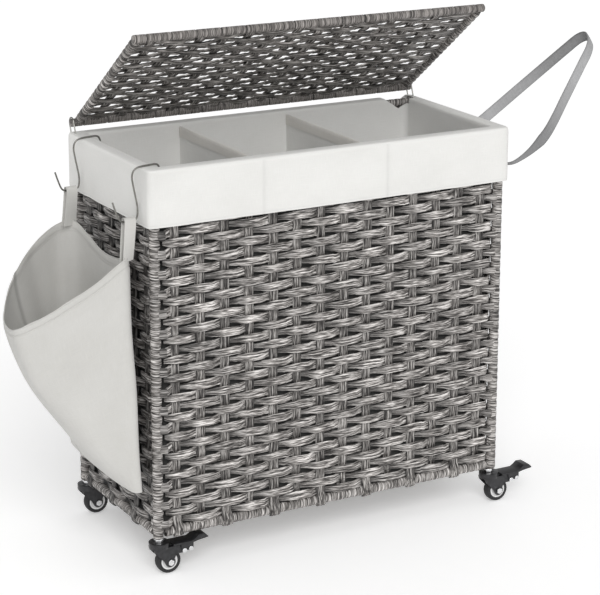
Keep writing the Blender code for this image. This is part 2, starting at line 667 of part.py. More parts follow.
def make_casters():
    fork, pedal, axle, stem = make_fork_mesh(), make_pedal_mesh(), make_axle_mesh(), make_stem_mesh()
    half = WHEEL_WIDTH / 2
    tyre_profile = ((TYRE_BORE, -half + 0.001), (WHEEL_RADIUS - 0.0022, -half), (WHEEL_RADIUS - 0.0006, -half + 0.0018),
                    (WHEEL_RADIUS, -half * 0.45), (WHEEL_RADIUS, half * 0.45), (WHEEL_RADIUS - 0.0006, half - 0.0018),
                    (WHEEL_RADIUS - 0.0022, half), (TYRE_BORE, half - 0.001))
    hub_profile = ((AXLE_RADIUS + GAP, -half + 0.0012), (0.0105, -half + 0.0022), (0.0118, -half + 0.0008),
                   (HUB_RADIUS, -half + 0.0012), (HUB_RADIUS, half - 0.0012), (0.0118, half - 0.0008),
                   (0.0105, half - 0.0022), (AXLE_RADIUS + GAP, half - 0.0012))
    for corner, (right, back) in CASTER_CORNERS.items():
        x = BASKET_WIDTH - POST_INSET if right else POST_INSET
        y = BASKET_DEPTH - POST_INSET if back else POST_INSET
        foot = Vector((x, y, 0.0))
        wheel = foot + Vector((TRAIL, 0.0, WHEEL_RADIUS))
        add_mesh("caster_stem_" + corner, stem.copy(), foot, bright_steel())
        add_mesh("caster_fork_" + corner, fork.copy(), foot, black_steel())
        add_mesh("brake_pedal_" + corner, pedal.copy(), foot + PEDAL_PIVOT, black_steel())
        add_mesh("wheel_axle_" + corner, axle.copy(), wheel, bright_steel())
        add_piece("tyre_" + corner, turned(tyre_profile, wheel), wheel, tyre_rubber())
        add_piece("wheel_hub_" + corner, turned(hub_profile, wheel), wheel, hub_plastic())
    for spent in (fork, pedal, axle, stem):
        bpy.data.meshes.remove(spent)


def main():
    for item in list(bpy.data.objects):
        bpy.data.objects.remove(item, do_unlink=True)
    make_frame()
    make_liner()
    make_lid()
    make_hinge_links()
    make_pull_strap()
    make_hooks()
    make_tabs()
    make_pouch()
    make_casters()


main()
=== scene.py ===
import json
import math

import bmesh
import bpy
import numpy as np
from mathutils import Matrix, Vector

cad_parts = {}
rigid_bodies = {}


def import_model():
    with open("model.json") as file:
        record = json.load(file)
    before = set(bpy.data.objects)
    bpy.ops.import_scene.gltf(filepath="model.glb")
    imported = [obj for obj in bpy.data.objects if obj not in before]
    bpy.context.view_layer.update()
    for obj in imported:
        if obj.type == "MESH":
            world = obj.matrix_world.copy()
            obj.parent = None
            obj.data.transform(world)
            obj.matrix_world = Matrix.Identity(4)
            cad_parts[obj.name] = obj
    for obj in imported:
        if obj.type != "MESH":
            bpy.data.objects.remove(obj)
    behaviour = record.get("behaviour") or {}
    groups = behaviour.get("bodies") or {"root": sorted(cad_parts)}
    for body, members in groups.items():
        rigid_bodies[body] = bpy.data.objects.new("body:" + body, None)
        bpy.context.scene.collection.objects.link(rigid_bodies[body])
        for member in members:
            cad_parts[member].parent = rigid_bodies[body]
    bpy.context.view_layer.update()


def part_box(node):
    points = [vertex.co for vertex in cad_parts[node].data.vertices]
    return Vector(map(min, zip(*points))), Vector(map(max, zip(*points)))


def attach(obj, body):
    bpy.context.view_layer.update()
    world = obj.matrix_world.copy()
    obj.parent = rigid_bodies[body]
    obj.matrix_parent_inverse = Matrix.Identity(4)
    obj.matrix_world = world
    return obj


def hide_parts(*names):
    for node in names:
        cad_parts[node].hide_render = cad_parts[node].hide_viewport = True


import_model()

# The basket's own measures: x to the right, y to the back and z up, from the outer corner at the front left
basket = {"width": 0.660, "depth": 0.310, "postInset": 0.003, "rimZ": 0.669, "cornersOff": 0.045,
          "cornerRun": 0.022}
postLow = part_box("post_front_left")[0]
corner = Vector((postLow[0] - basket["postInset"], postLow[1] - basket["postInset"], 0.0))
chance = np.random.default_rng(7)


def at(x, y, z):
    return corner + Vector((x, y, z))


def middleOf(node):
    low, high = (Vector(side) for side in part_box(node))
    return (low + high) / 2, low, high


# Tools shared by the pieces

def deselectAll():
    if bpy.context.mode != "OBJECT":
        bpy.ops.object.mode_set(mode="OBJECT")
    bpy.ops.object.select_all(action="DESELECT")


def choose(piece):
    deselectAll()
    piece.select_set(True)
    bpy.context.view_layer.objects.active = piece


def inEditMode(piece, action, selection="SELECT"):
    choose(piece)
    bpy.ops.object.mode_set(mode="EDIT")
    bpy.ops.mesh.select_all(action=selection)
    action()
    bpy.ops.object.mode_set(mode="OBJECT")


def mendSeams(piece, distance=0.00005):
    inEditMode(piece, lambda: bpy.ops.mesh.remove_doubles(threshold=distance))


def faceOut(piece):
    inEditMode(piece, lambda: bpy.ops.mesh.normals_make_consistent(inside=False))


def applyAll(piece):
    choose(piece)
    for modifier in list(piece.modifiers):
        bpy.ops.object.modifier_apply(modifier=modifier.name)


def smooth(piece, angle):
    choose(piece)
    bpy.ops.object.shade_smooth_by_angle(angle=math.radians(angle))


def thicken(piece, thickness, offset=0.0, angle=60.0):
    wall = piece.modifiers.new("wall", "SOLIDIFY")
    wall.thickness = thickness
    wall.offset = offset
    applyAll(piece)
    smooth(piece, angle)


def roundEdges(piece, width, segments, angle):
    edges = piece.modifiers.new("edges", "BEVEL")
    edges.width = width
    edges.segments = segments
    edges.limit_method = "ANGLE"
    edges.angle_limit = math.radians(angle)
    applyAll(piece)


def finishPiece(piece, name, material, body):
    piece.name = name
    piece.data.name = name
    piece.data.materials.clear()
    piece.data.materials.append(material)
    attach(piece, body)


def joinPieces(pieces):
    deselectAll()
    for piece in pieces:
        piece.select_set(True)
    bpy.context.view_layer.objects.active = pieces[0]
    bpy.ops.object.join()
    return pieces[0]


def changeMap(mesh, change):
    layer = mesh.uv_layers.active.data
    flat = np.empty(len(layer) * 2)
    layer.foreach_get("uv", flat)
    layer.foreach_set("uv", change(flat.reshape(-1, 2)).ravel())


def gridPiece(columns, rows, place, size, shift=(0.0, 0.0), tone=None):
    # a flat grid, bent to place(u, v) with u along its columns and v along its rows, both 0 to 1
    deselectAll()
    bpy.ops.mesh.primitive_grid_add(x_subdivisions=columns, y_subdivisions=rows, size=1.0)
    piece = bpy.context.object
    mesh = piece.data
    spots = np.empty(len(mesh.vertices) * 3)
    mesh.vertices.foreach_get("co", spots)
    spots = spots.reshape(-1, 3)
    u, v = spots[:, 0] + 0.5, spots[:, 1] + 0.5
    mesh.vertices.foreach_set("co", np.ascontiguousarray(place(u, v)).ravel())
    changeMap(mesh, lambda flat: flat * np.array(size) + np.array(shift))
    shade = mesh.attributes.new("tone", "FLOAT", "POINT")
    shade.data.foreach_set("value", np.zeros(len(u)) if tone is None else tone(u, v))
    mesh.update()
    return piece


def rowsOf(*parts):
    return np.stack(np.broadcast_arrays(*parts), axis=-1).astype(float)


def bell(x, middle, width):
    return np.exp(-((x - middle) / width) ** 2)


def eased(f):
    return f * f * (3 - 2 * f)


def throughPoints(points, t, closed):
    # a smooth line through the points, read at t from 0 to 1
    points = np.array(points, dtype=float)
    count = len(points)
    spans = count if closed else count - 1
    if not closed:
        points = np.vstack([2 * points[0] - points[1], points, 2 * points[-1] - points[-2]])
    place = np.clip(t, 0.0, 1.0) * spans
    index = np.minimum(place.astype(int), spans - 1)
    f = (place - index)[:, None]
    if closed:
        a, b, c, d = (points[(index + k) % count] for k in (-1, 0, 1, 2))
    else:
        a, b, c, d = (points[index + k] for k in (0, 1, 2, 3))
    return 0.5 * (2 * b + (c - a) * f + (2 * a - 5 * b + 4 * c - d) * f ** 2
                  + (3 * b - a - 3 * c + d) * f ** 3)


# Material tools

def newMaterial(name):
    material = bpy.data.materials.new(name)
    material.use_nodes = True
    tree = material.node_tree
    return material, tree.nodes, tree.links, tree.nodes["Principled BSDF"]


def newGroup(name, inputs, outputs):
    group = bpy.data.node_groups.new(name, "ShaderNodeTree")
    for label, kind, value in inputs:
        socket = group.interface.new_socket(label, in_out="INPUT", socket_type=kind)
        if value is not None:
            socket.default_value = value
    for label in outputs:
        group.interface.new_socket(label, in_out="OUTPUT", socket_type="NodeSocketFloat")
    start = group.nodes.new("NodeGroupInput")
    end = group.nodes.new("NodeGroupOutput")
    return group, group.nodes, group.links, start, end


def placeGroup(nodes, group, **values):
    node = nodes.new("ShaderNodeGroup")
    node.node_tree = group
    for label, value in values.items():
        node.inputs[label].default_value = value
    return node


def feed(links, socket, value):
    # another node's socket is joined on, and a plain number or vector is set
    if isinstance(value, bpy.types.NodeSocket):
        links.new(value, socket)
    else:
        socket.default_value = value


def mathNode(nodes, links, operation, first, second):
    node = nodes.new("ShaderNodeMath")
    node.operation = operation
    feed(links, node.inputs[0], first)
    feed(links, node.inputs[1], second)
    return node.outputs["Value"]


def vectorNode(nodes, links, operation, first, second):
    node = nodes.new("ShaderNodeVectorMath")
    node.operation = operation
    feed(links, node.inputs[0], first)
    feed(links, node.inputs["Scale" if operation == "SCALE" else 1], second)
    return node.outputs["Value" if operation == "DOT_PRODUCT" else "Vector"]


def noiseNode(nodes, links, where, scale, detail=2.0, roughness=0.5):
    node = nodes.new("ShaderNodeTexNoise")
    node.inputs["Scale"].default_value = scale
    node.inputs["Detail"].default_value = detail
    node.inputs["Roughness"].default_value = roughness
    links.new(where, node.inputs["Vector"])
    return node.outputs["Fac"]


def rangeNode(nodes, links, value, toMin, toMax, fromMin=0.0, fromMax=1.0):
    node = nodes.new("ShaderNodeMapRange")
    for label, number in (("From Min", fromMin), ("From Max", fromMax), ("To Min", toMin), ("To Max", toMax)):
        node.inputs[label].default_value = number
    links.new(value, node.inputs["Value"])
    return node.outputs["Result"]


def mixNode(nodes, links, share, first, second):
    node = nodes.new("ShaderNodeMix")
    node.inputs["Factor"].default_value = share
    links.new(first, node.inputs["A"])
    links.new(second, node.inputs["B"])
    return node.outputs["Result"]


def rampNode(nodes, links, value, stops):
    ramp = nodes.new("ShaderNodeValToRGB")
    while len(ramp.color_ramp.elements) < len(stops):
        ramp.color_ramp.elements.new(0.5)
    for element, (place, colour) in zip(ramp.color_ramp.elements, stops):
        element.position = place
        element.color = (*colour, 1.0)
    links.new(value, ramp.inputs["Fac"])
    return ramp.outputs["Color"]


def mapNode(nodes):
    node = nodes.new("ShaderNodeUVMap")
    node.uv_map = "UVMap"
    return node.outputs["UV"]


def objectNode(nodes):
    return nodes.new("ShaderNodeTexCoord").outputs["Object"]


def toneNode(nodes):
    # the tone that each piece carries on its mesh: its own lighter and darker strands, and the painted light
    # and shade on it
    node = nodes.new("ShaderNodeAttribute")
    node.attribute_name = "tone"
    return node.outputs["Fac"]


def bumpFrom(nodes, links, shader, height, strength, distance):
    bump = nodes.new("ShaderNodeBump")
    bump.inputs["Strength"].default_value = strength
    bump.inputs["Distance"].default_value = distance
    links.new(height, bump.inputs["Height"])
    links.new(bump.outputs["Normal"], shader.inputs["Normal"])


fibre = {"coarse": 380.0, "fine": 950.0, "coarseStretch": 22.0, "fineStretch": 60.0, "fineShare": 0.45,
         "contrast": (0.43, 0.60), "slowScale": 14.0, "slowRange": (0.3, 0.7), "slowTone": (0.82, 1.14),
         "gloss": 0.42, "relief": 0.0026}
cloth = {"thread": 300.0, "waver": 1.2, "slubs": (700.0, 45.0), "cloudScale": 9.0, "shadeFrom": 0.35,
         "shadeTo": 0.62, "roughness": (0.95, 0.8), "sheen": 0.15, "bump": 0.35, "relief": 0.0004}
metal = {"scuffScale": 160.0, "bump": 0.15, "relief": 0.0003}


def makeFibreGroup():
    # streaks along u: a coarse and a fine set of fibres, and slow changes of shade along the strand
    group, nodes, links, start, end = newGroup(
        "strandFibres",
        [("Vector", "NodeSocketVector", None), ("Coarse", "NodeSocketFloat", fibre["coarse"]),
         ("Fine", "NodeSocketFloat", fibre["fine"])],
        ["Streak", "Height", "Shade"])
    sets = []
    for label, stretch in (("Coarse", fibre["coarseStretch"]), ("Fine", fibre["fineStretch"])):
        join = nodes.new("ShaderNodeCombineXYZ")
        join.inputs["X"].default_value = stretch
        join.inputs["Z"].default_value = 1.0
        links.new(start.outputs[label], join.inputs["Y"])
        scaled = vectorNode(nodes, links, "MULTIPLY", start.outputs["Vector"], join.outputs["Vector"])
        sets.append(noiseNode(nodes, links, scaled, 1.0, 2.0, 0.6))
    both = mixNode(nodes, links, fibre["fineShare"], *sets)
    links.new(rangeNode(nodes, links, both, 0.0, 1.0, *fibre["contrast"]), end.inputs["Streak"])
    links.new(both, end.inputs["Height"])
    links.new(noiseNode(nodes, links, start.outputs["Vector"], fibre["slowScale"], 1.0), end.inputs["Shade"])
    return group


def makeClothGroup():
    # plain weave: threads both ways, with slubs
    group, nodes, links, start, end = newGroup(
        "clothWeave",
        [("Vector", "NodeSocketVector", None), ("Thread", "NodeSocketFloat", cloth["thread"])],
        ["Height", "Slub", "Cloud"])
    waves = []
    for direction in ("X", "Y"):
        wave = nodes.new("ShaderNodeTexWave")
        wave.bands_direction = direction
        wave.inputs["Distortion"].default_value = cloth["waver"]
        wave.inputs["Detail"].default_value = 1.0
        links.new(start.outputs["Vector"], wave.inputs["Vector"])
        links.new(start.outputs["Thread"], wave.inputs["Scale"])
        waves.append(wave.outputs["Fac"])
    fine, coarse = cloth["slubs"]
    slubs = []
    for stretch in ((fine, coarse, 1.0), (coarse, fine, 1.0)):
        scaled = vectorNode(nodes, links, "MULTIPLY", start.outputs["Vector"], stretch)
        slubs.append(noiseNode(nodes, links, scaled, 1.0))
    links.new(mathNode(nodes, links, "ADD", *waves), end.inputs["Height"])
    links.new(mathNode(nodes, links, "MAXIMUM", *slubs), end.inputs["Slub"])
    links.new(noiseNode(nodes, links, start.outputs["Vector"], cloth["cloudScale"], 3.0), end.inputs["Cloud"])
    return group


def makeStrandMaterial(name, dark, middle, light, coarse=fibre["coarse"], fine=fibre["fine"]):
    material, nodes, links, shader = newMaterial(name)
    fibres = placeGroup(nodes, fibreGroup, Coarse=coarse, Fine=fine)
    links.new(mapNode(nodes), fibres.inputs["Vector"])
    colour = rampNode(nodes, links, fibres.outputs["Streak"], [(0.0, dark), (0.5, middle), (1.0, light)])
    slow = rangeNode(nodes, links, fibres.outputs["Shade"], *fibre["slowTone"], *fibre["slowRange"])
    shade = mathNode(nodes, links, "ADD", slow, toneNode(nodes))
    links.new(vectorNode(nodes, links, "SCALE", colour, shade), shader.inputs["Base Color"])
    rough = rangeNode(nodes, links, fibres.outputs["Streak"], fibre["gloss"] + 0.14, fibre["gloss"] - 0.04)
    links.new(rough, shader.inputs["Roughness"])
    bumpFrom(nodes, links, shader, fibres.outputs["Height"], 1.0, fibre["relief"])
    return material


def paintShadeBehindWeave(nodes, links, colour):
    # the liner's outer face below its cuff, which shows only through the weave's gaps, takes painted shade,
    # as if in the dark of the narrow space behind the weave
    place = objectNode(nodes)
    centre = at(basket["width"] / 2, basket["depth"] / 2, 0.0)
    fromCentre = vectorNode(nodes, links, "SUBTRACT", place, centre)
    level = vectorNode(nodes, links, "MULTIPLY", fromCentre, (1.0, 1.0, 0.0))
    normal = nodes.new("ShaderNodeNewGeometry").outputs["True Normal"]
    facing = vectorNode(nodes, links, "DOT_PRODUCT", level, normal)
    outer = mathNode(nodes, links, "GREATER_THAN", facing, 0.02)
    split = nodes.new("ShaderNodeSeparateXYZ")
    links.new(place, split.inputs["Vector"])
    lowest, highest = (basket["rimZ"] - down for down in liner["paintedShadeBelow"])
    below = rangeNode(nodes, links, split.outputs["Z"], liner["paintedShadeDepth"], 0.0, lowest, highest)
    shadeAmount = mathNode(nodes, links, "MULTIPLY", outer, below)
    left = mathNode(nodes, links, "SUBTRACT", 1.0, shadeAmount)
    return vectorNode(nodes, links, "SCALE", colour, left)


def makeClothMaterial(name, colour, shadeColour, thread=cloth["thread"], relief=cloth["relief"],
                      shadeBehindWeave=False):
    material, nodes, links, shader = newMaterial(name)
    weaving = placeGroup(nodes, clothGroup, Thread=thread)
    links.new(mapNode(nodes), weaving.inputs["Vector"])
    patches = mixNode(nodes, links, 0.5, weaving.outputs["Slub"], weaving.outputs["Cloud"])
    stops = [(cloth["shadeFrom"], shadeColour), (cloth["shadeTo"], colour)]
    tinted = rampNode(nodes, links, patches, stops)
    if shadeBehindWeave:
        tinted = paintShadeBehindWeave(nodes, links, tinted)
    shade = mathNode(nodes, links, "ADD", toneNode(nodes), 1.0)
    links.new(vectorNode(nodes, links, "SCALE", tinted, shade), shader.inputs["Base Color"])
    rough = rangeNode(nodes, links, weaving.outputs["Slub"], *cloth["roughness"])
    links.new(rough, shader.inputs["Roughness"])
    shader.inputs["Sheen Weight"].default_value = cloth["sheen"]
    bumpFrom(nodes, links, shader, weaving.outputs["Height"], cloth["bump"], relief)
    return material


def makeMetalMaterial(name, colour, roughness, metallic, scuff, coat=0.0):
    # a metal or plastic with faint scuffs and a change of gloss
    material, nodes, links, shader = newMaterial(name)
    scuffs = noiseNode(nodes, links, objectNode(nodes), metal["scuffScale"], 4.0)
    low = tuple(channel * (1.0 - scuff) for channel in colour)
    high = tuple(min(channel * (1.0 + scuff) + 0.01 * scuff, 1.0) for channel in colour)
    links.new(rampNode(nodes, links, scuffs, [(0.3, low), (0.7, high)]), shader.inputs["Base Color"])
    rough = rangeNode(nodes, links, scuffs, roughness * 0.75, min(roughness * 1.35, 1.0))
    links.new(rough, shader.inputs["Roughness"])
    shader.inputs["Metallic"].default_value = metallic
    shader.inputs["Coat Weight"].default_value = coat
    bumpFrom(nodes, links, shader, scuffs, metal["bump"], metal["relief"])
    return material


# Camera, light and floor

camera = {"azimuth": -29.3239, "elevation": 14.1993, "roll": 0.2191, "distance": 3.4471, "lens": 129.359,
          "sensor": 36.0, "aim": (0.2775, 0.0, 0.6001), "shiftX": -0.0133, "shiftY": -0.1708,
          "farthest": 60.0}
light = {"worldStrength": 0.52, "seenWorld": 1.0, "sunStrength": 1.62, "sunAngle": 38.0,
         "sunFrom": (-0.34, -0.84, 0.60), "floorSize": 40.0, "floorColour": (0.975, 0.975, 0.975),
         "floorGlow": 0.26}


def makeCamera():
    a, e, r = (math.radians(camera[key]) for key in ("azimuth", "elevation", "roll"))
    back = Vector((math.sin(a) * math.cos(e), -math.cos(a) * math.cos(e), math.sin(e)))
    right = Vector((0, 0, 1)).cross(back).normalized()
    up = back.cross(right)
    right, up = math.cos(r) * right + math.sin(r) * up, -math.sin(r) * right + math.cos(r) * up
    place = Matrix((right, up, back)).transposed().to_4x4()
    place.translation = at(*camera["aim"]) + back * camera["distance"]
    bpy.ops.object.camera_add()
    view = bpy.context.object
    view.matrix_world = place
    view.data.lens = camera["lens"]
    view.data.sensor_width = camera["sensor"]
    view.data.shift_x = camera["shiftX"]
    view.data.shift_y = camera["shiftY"]
    view.data.clip_end = camera["farthest"]
    bpy.context.scene.camera = view


def makeStudio():
    world = bpy.data.worlds.new("studio")
    world.use_nodes = True
    sky = world.node_tree.nodes["Background"]
    sky.inputs["Color"].default_value = (1.0, 1.0, 1.0, 1.0)
    tree = world.node_tree
    seen = tree.nodes.new("ShaderNodeLightPath").outputs["Is Camera Ray"]
    strength = rangeNode(tree.nodes, tree.links, seen, light["worldStrength"], light["seenWorld"])
    tree.links.new(strength, sky.inputs["Strength"])
    bpy.context.scene.world = world
    bpy.ops.object.light_add(type="SUN")
    sun = bpy.context.object
    sun.rotation_euler = Vector(light["sunFrom"]).to_track_quat("Z", "Y").to_euler()
    sun.data.energy = light["sunStrength"]
    sun.data.angle = math.radians(light["sunAngle"])
    bpy.context.scene.view_settings.view_transform = "Standard"
    deselectAll()
    bpy.ops.mesh.primitive_plane_add(size=light["floorSize"], location=(0.0, 0.0, 0.0))
    floor = bpy.context.object
    floor.name = "studioFloor"
    material, nodes, links, shader = newMaterial("floorPaint")
    clouds = noiseNode(nodes, links, objectNode(nodes), 3.0)
    base = light["floorColour"]
    stops = [(0.0, tuple(c * 0.995 for c in base)), (1.0, base)]
    links.new(rampNode(nodes, links, clouds, stops), shader.inputs["Base Color"])
    shader.inputs["Roughness"].default_value = 0.9
    shader.inputs["Specular IOR Level"].default_value = 0.1
    shader.inputs["Emission Color"].default_value = (1.0, 1.0, 1.0, 1.0)
    shader.inputs["Emission Strength"].default_value = light["floorGlow"]
    floor.data.materials.append(material)


# The woven body: strands that run round all four sides, over and under upright ones

# the float ends' two tones and the left side's tone below are painted light and shade on the strands
weave = {"rows": 36, "inset": 0.0100, "corner": 0.0145, "lowZ": 0.0775, "highZ": 0.6550,
         "strandHeight": 0.0150, "strandThickness": 0.0016, "out": 0.0056, "back": 0.0034,
         "outAtPost": 0.0118,
         "backAtPost": 0.0085, "frontSpans": 15, "sideSpans": 7, "groups": 6, "ridge": 0.00042, "cup": 0.0018,
         "shadedEnd": -0.50, "litEnd": 0.16, "dropFrom": 0.72, "riseFrom": 0.52, "tuckedWidth": 0.56,
         "paintedLeftShade": -0.42}
# the edge and groove tones below are painted shade
upright = {"width": 0.0172, "thickness": 0.0018, "sway": 0.0007, "ribs": 3, "footShare": 0.10, "edge": 0.0016,
           "ribHeight": 0.00055, "paintedEdgeShade": -0.55, "paintedGrooveShade": -0.30, "grooveAt": 0.36,
           "grooveWidth": 0.09}
spanCount = 2 * (weave["frontSpans"] + weave["sideSpans"])


def pathMarks():
    # lengths along a strand: the long side, the short side and the turn at a corner, then where each ends
    bend = basket["cornerRun"]
    long, short = basket["width"] - basket["cornersOff"], basket["depth"] - basket["cornersOff"]
    return long, short, bend, np.cumsum([0.0, long, bend, short, bend, long, bend, short, bend])


def roundedPath(t, inset, bend):
    # t from 0 to 1 runs round the basket from the front side's left end, seen from above anticlockwise
    width, depth = basket["width"], basket["depth"]
    marks = pathMarks()[3]
    t, inset, bend = np.broadcast_arrays(np.asarray(t, dtype=float) % 1.0, inset, bend)
    place = t * marks[-1]
    part = np.clip(np.searchsorted(marks, place, side="right") - 1, 0, 7)
    share = (place - marks[part]) / (marks[part + 1] - marks[part])
    near, right, far = inset + bend, width - inset - bend, depth - inset - bend
    fromX = np.choose(part, [near, right, width - inset, right, right, near, inset, near])
    fromY = np.choose(part, [inset, near, near, far, depth - inset, far, far, near])
    toX = np.choose(part, [right, right, width - inset, right, near, near, inset, near])
    toY = np.choose(part, [inset, near, far, far, depth - inset, far, near, near])
    angle = math.pi / 2 * np.where(part % 2 == 1, share + (part - 1) / 2 - 1.0, part / 2 - 1.0)
    normal = np.stack([np.cos(angle), np.sin(angle)], axis=1)
    spots = np.stack([fromX + (toX - fromX) * share, fromY + (toY - fromY) * share], axis=1)
    turning = (part % 2 == 1)[:, None]
    return np.where(turning, spots + bend[:, None] * normal, spots), normal


def spanKnots():
    # where along the path each upright strand and corner post stands, as t against a running count
    width, depth = basket["width"], basket["depth"]
    long, short, bend, marks = pathMarks()
    total = marks[-1]
    reach = weave["inset"] + weave["corner"]
    knots = []
    offset, count = 0.0, 0
    for length, side, spans in ((long, width, weave["frontSpans"]), (short, depth, weave["sideSpans"])) * 2:
        knots.append(((offset - bend / 2) / total, count))
        for index in range(1, spans):
            share = (side * index / spans - reach) / (side - 2 * reach)
            knots.append(((offset + share * length) / total, count + index))
        offset += length + bend
        count += spans
    knots.append(((offset - bend / 2) / total, count))
    return np.array(knots)


def distanceAlong(phase, row):
    # how far a point is past the upright that its strand covers, from -1 to 1
    return (phase + row + 1.0) % 2.0 - 1.0


def floatShape(phase, row):
    # each float rises slowly, stands proud and widens, then drops sharply behind the next upright
    away = distanceAlong(phase, row)
    after = np.clip(away, 0.0, 1.0)
    before = np.clip(-away, 0.0, 1.0)
    drop, rise, tucked = weave["dropFrom"], weave["riseFrom"], weave["tuckedWidth"]
    falling = np.where(after < drop, np.cos(math.pi / 2 * np.clip(after / drop, 0, 1) ** 3.0),
                       -np.sin(math.pi / 2 * (after - drop) / (1 - drop)))
    rising = np.where(before < rise, np.cos(math.pi / 2 * np.clip(before / rise, 0, 1) ** 1.5),
                      -np.sin(math.pi / 2 * (before - rise) / (1 - rise)))
    wave = np.where(away > 0, falling, rising)
    widening = eased(np.clip((away + 0.80) / 0.75, 0.0, 1.0))
    closing = np.clip((1.0 - away) / 0.12, 0.0, 1.0)
    return wave, (tucked + 0.46 * widening) * closing + tucked * (1 - closing)


def makeWeftRow(row, knots):
    half = spanCount // 2
    posts = np.array([0, weave["frontSpans"], half, half + weave["frontSpans"], spanCount])
    bulge = chance.uniform(0.86, 1.14, spanCount)
    lift = chance.normal(0.0, 0.0007, spanCount)
    slope = chance.normal(0.0, 0.0009, spanCount)
    width = chance.uniform(0.93, 1.05, spanCount)
    shade = chance.uniform(-0.16, 0.16, spanCount)
    lean = chance.uniform(-0.035, 0.035, spanCount)
    pitch = (weave["highZ"] - weave["lowZ"]) / weave["rows"]
    middle = weave["lowZ"] + pitch * (row + 0.5)

    def pick(table, phase):
        return table[np.round(phase).astype(int) % spanCount]

    def blend(table, phase):
        low = np.floor(phase).astype(int)
        f = eased(phase - low)
        return table[low % spanCount] * (1 - f) + table[(low + 1) % spanCount] * f

    def place(u, v):
        phase = np.interp(u, knots[:, 0], knots[:, 1])
        phase = phase + blend(lean, phase)
        wave, wide = floatShape(phase, row)
        nearPost = np.clip(1.0 - np.min(np.abs(phase[:, None] - posts[None, :]), axis=1) * 1.6, 0.0, 1.0)
        out = weave["out"] * pick(bulge, phase) * (1 - nearPost) + weave["outAtPost"] * nearPost
        back = weave["back"] * (1 - nearPost) + weave["backAtPost"] * nearPost
        stand = np.where(wave > 0, wave * out, wave * back)
        across = 2 * v - 1
        tall = weave["strandHeight"] * blend(width, phase) * wide
        stand = stand - np.where(wave > 0, 1.0, -0.6) * weave["cup"] * across ** 2
        stand = stand + weave["ridge"] * np.cos(across * math.pi * 3.0) * (1 - across ** 4)
        z = middle + across * tall / 2 + blend(lift, phase) + (phase - np.round(phase)) * blend(slope, phase)
        flat, normal = roundedPath(u, weave["inset"], weave["corner"])
        flat = flat + normal * stand[:, None]
        return rowsOf(flat[:, 0] + corner.x, flat[:, 1] + corner.y, z)

    def tone(u, v):
        phase = np.interp(u, knots[:, 0], knots[:, 1])
        away = distanceAlong(phase, row)
        # painted light and shade along each float: painted shade where it rises from under an upright,
        # painted light where it stands proud, and painted shade where it drops behind the next one
        rising = np.clip((away + 0.85) / 0.75, 0.0, 1.0) ** 1.3
        falling = np.clip((0.92 - away) / 0.14, 0.0, 1.0)
        lit = weave["shadedEnd"] + (weave["litEnd"] - weave["shadedEnd"]) * rising
        lit = lit * falling - 0.85 * (1 - falling)
        # painted shade along the strand's edges
        edge = -0.22 * np.abs(2 * v - 1) ** 4
        # the strands on the left side take painted shade
        onLeftSide = phase > spanCount - weave["sideSpans"]
        return blend(shade, phase) + lit + edge + weave["paintedLeftShade"] * onLeftSide

    length = 2 * (basket["width"] + basket["depth"])
    return gridPiece(460, 10, place, (length, weave["strandHeight"]), (row * 3.7, row * 0.21), tone)


def makeWefts():
    knots = spanKnots()
    perGroup = weave["rows"] // weave["groups"]
    for group in range(weave["groups"]):
        rows = [makeWeftRow(group * perGroup + index, knots) for index in range(perGroup)]
        piece = joinPieces(rows)
        mendSeams(piece)
        thicken(piece, weave["strandThickness"], -1.0, 50.0)
        finishPiece(piece, "woven_rows_" + str(group + 1), strandMaterial, "basket")
        if group == 0:
            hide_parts("woven_panel_front", "woven_panel_left", "woven_panel_rear",
                        "woven_panel_right")
    print("wefts made")


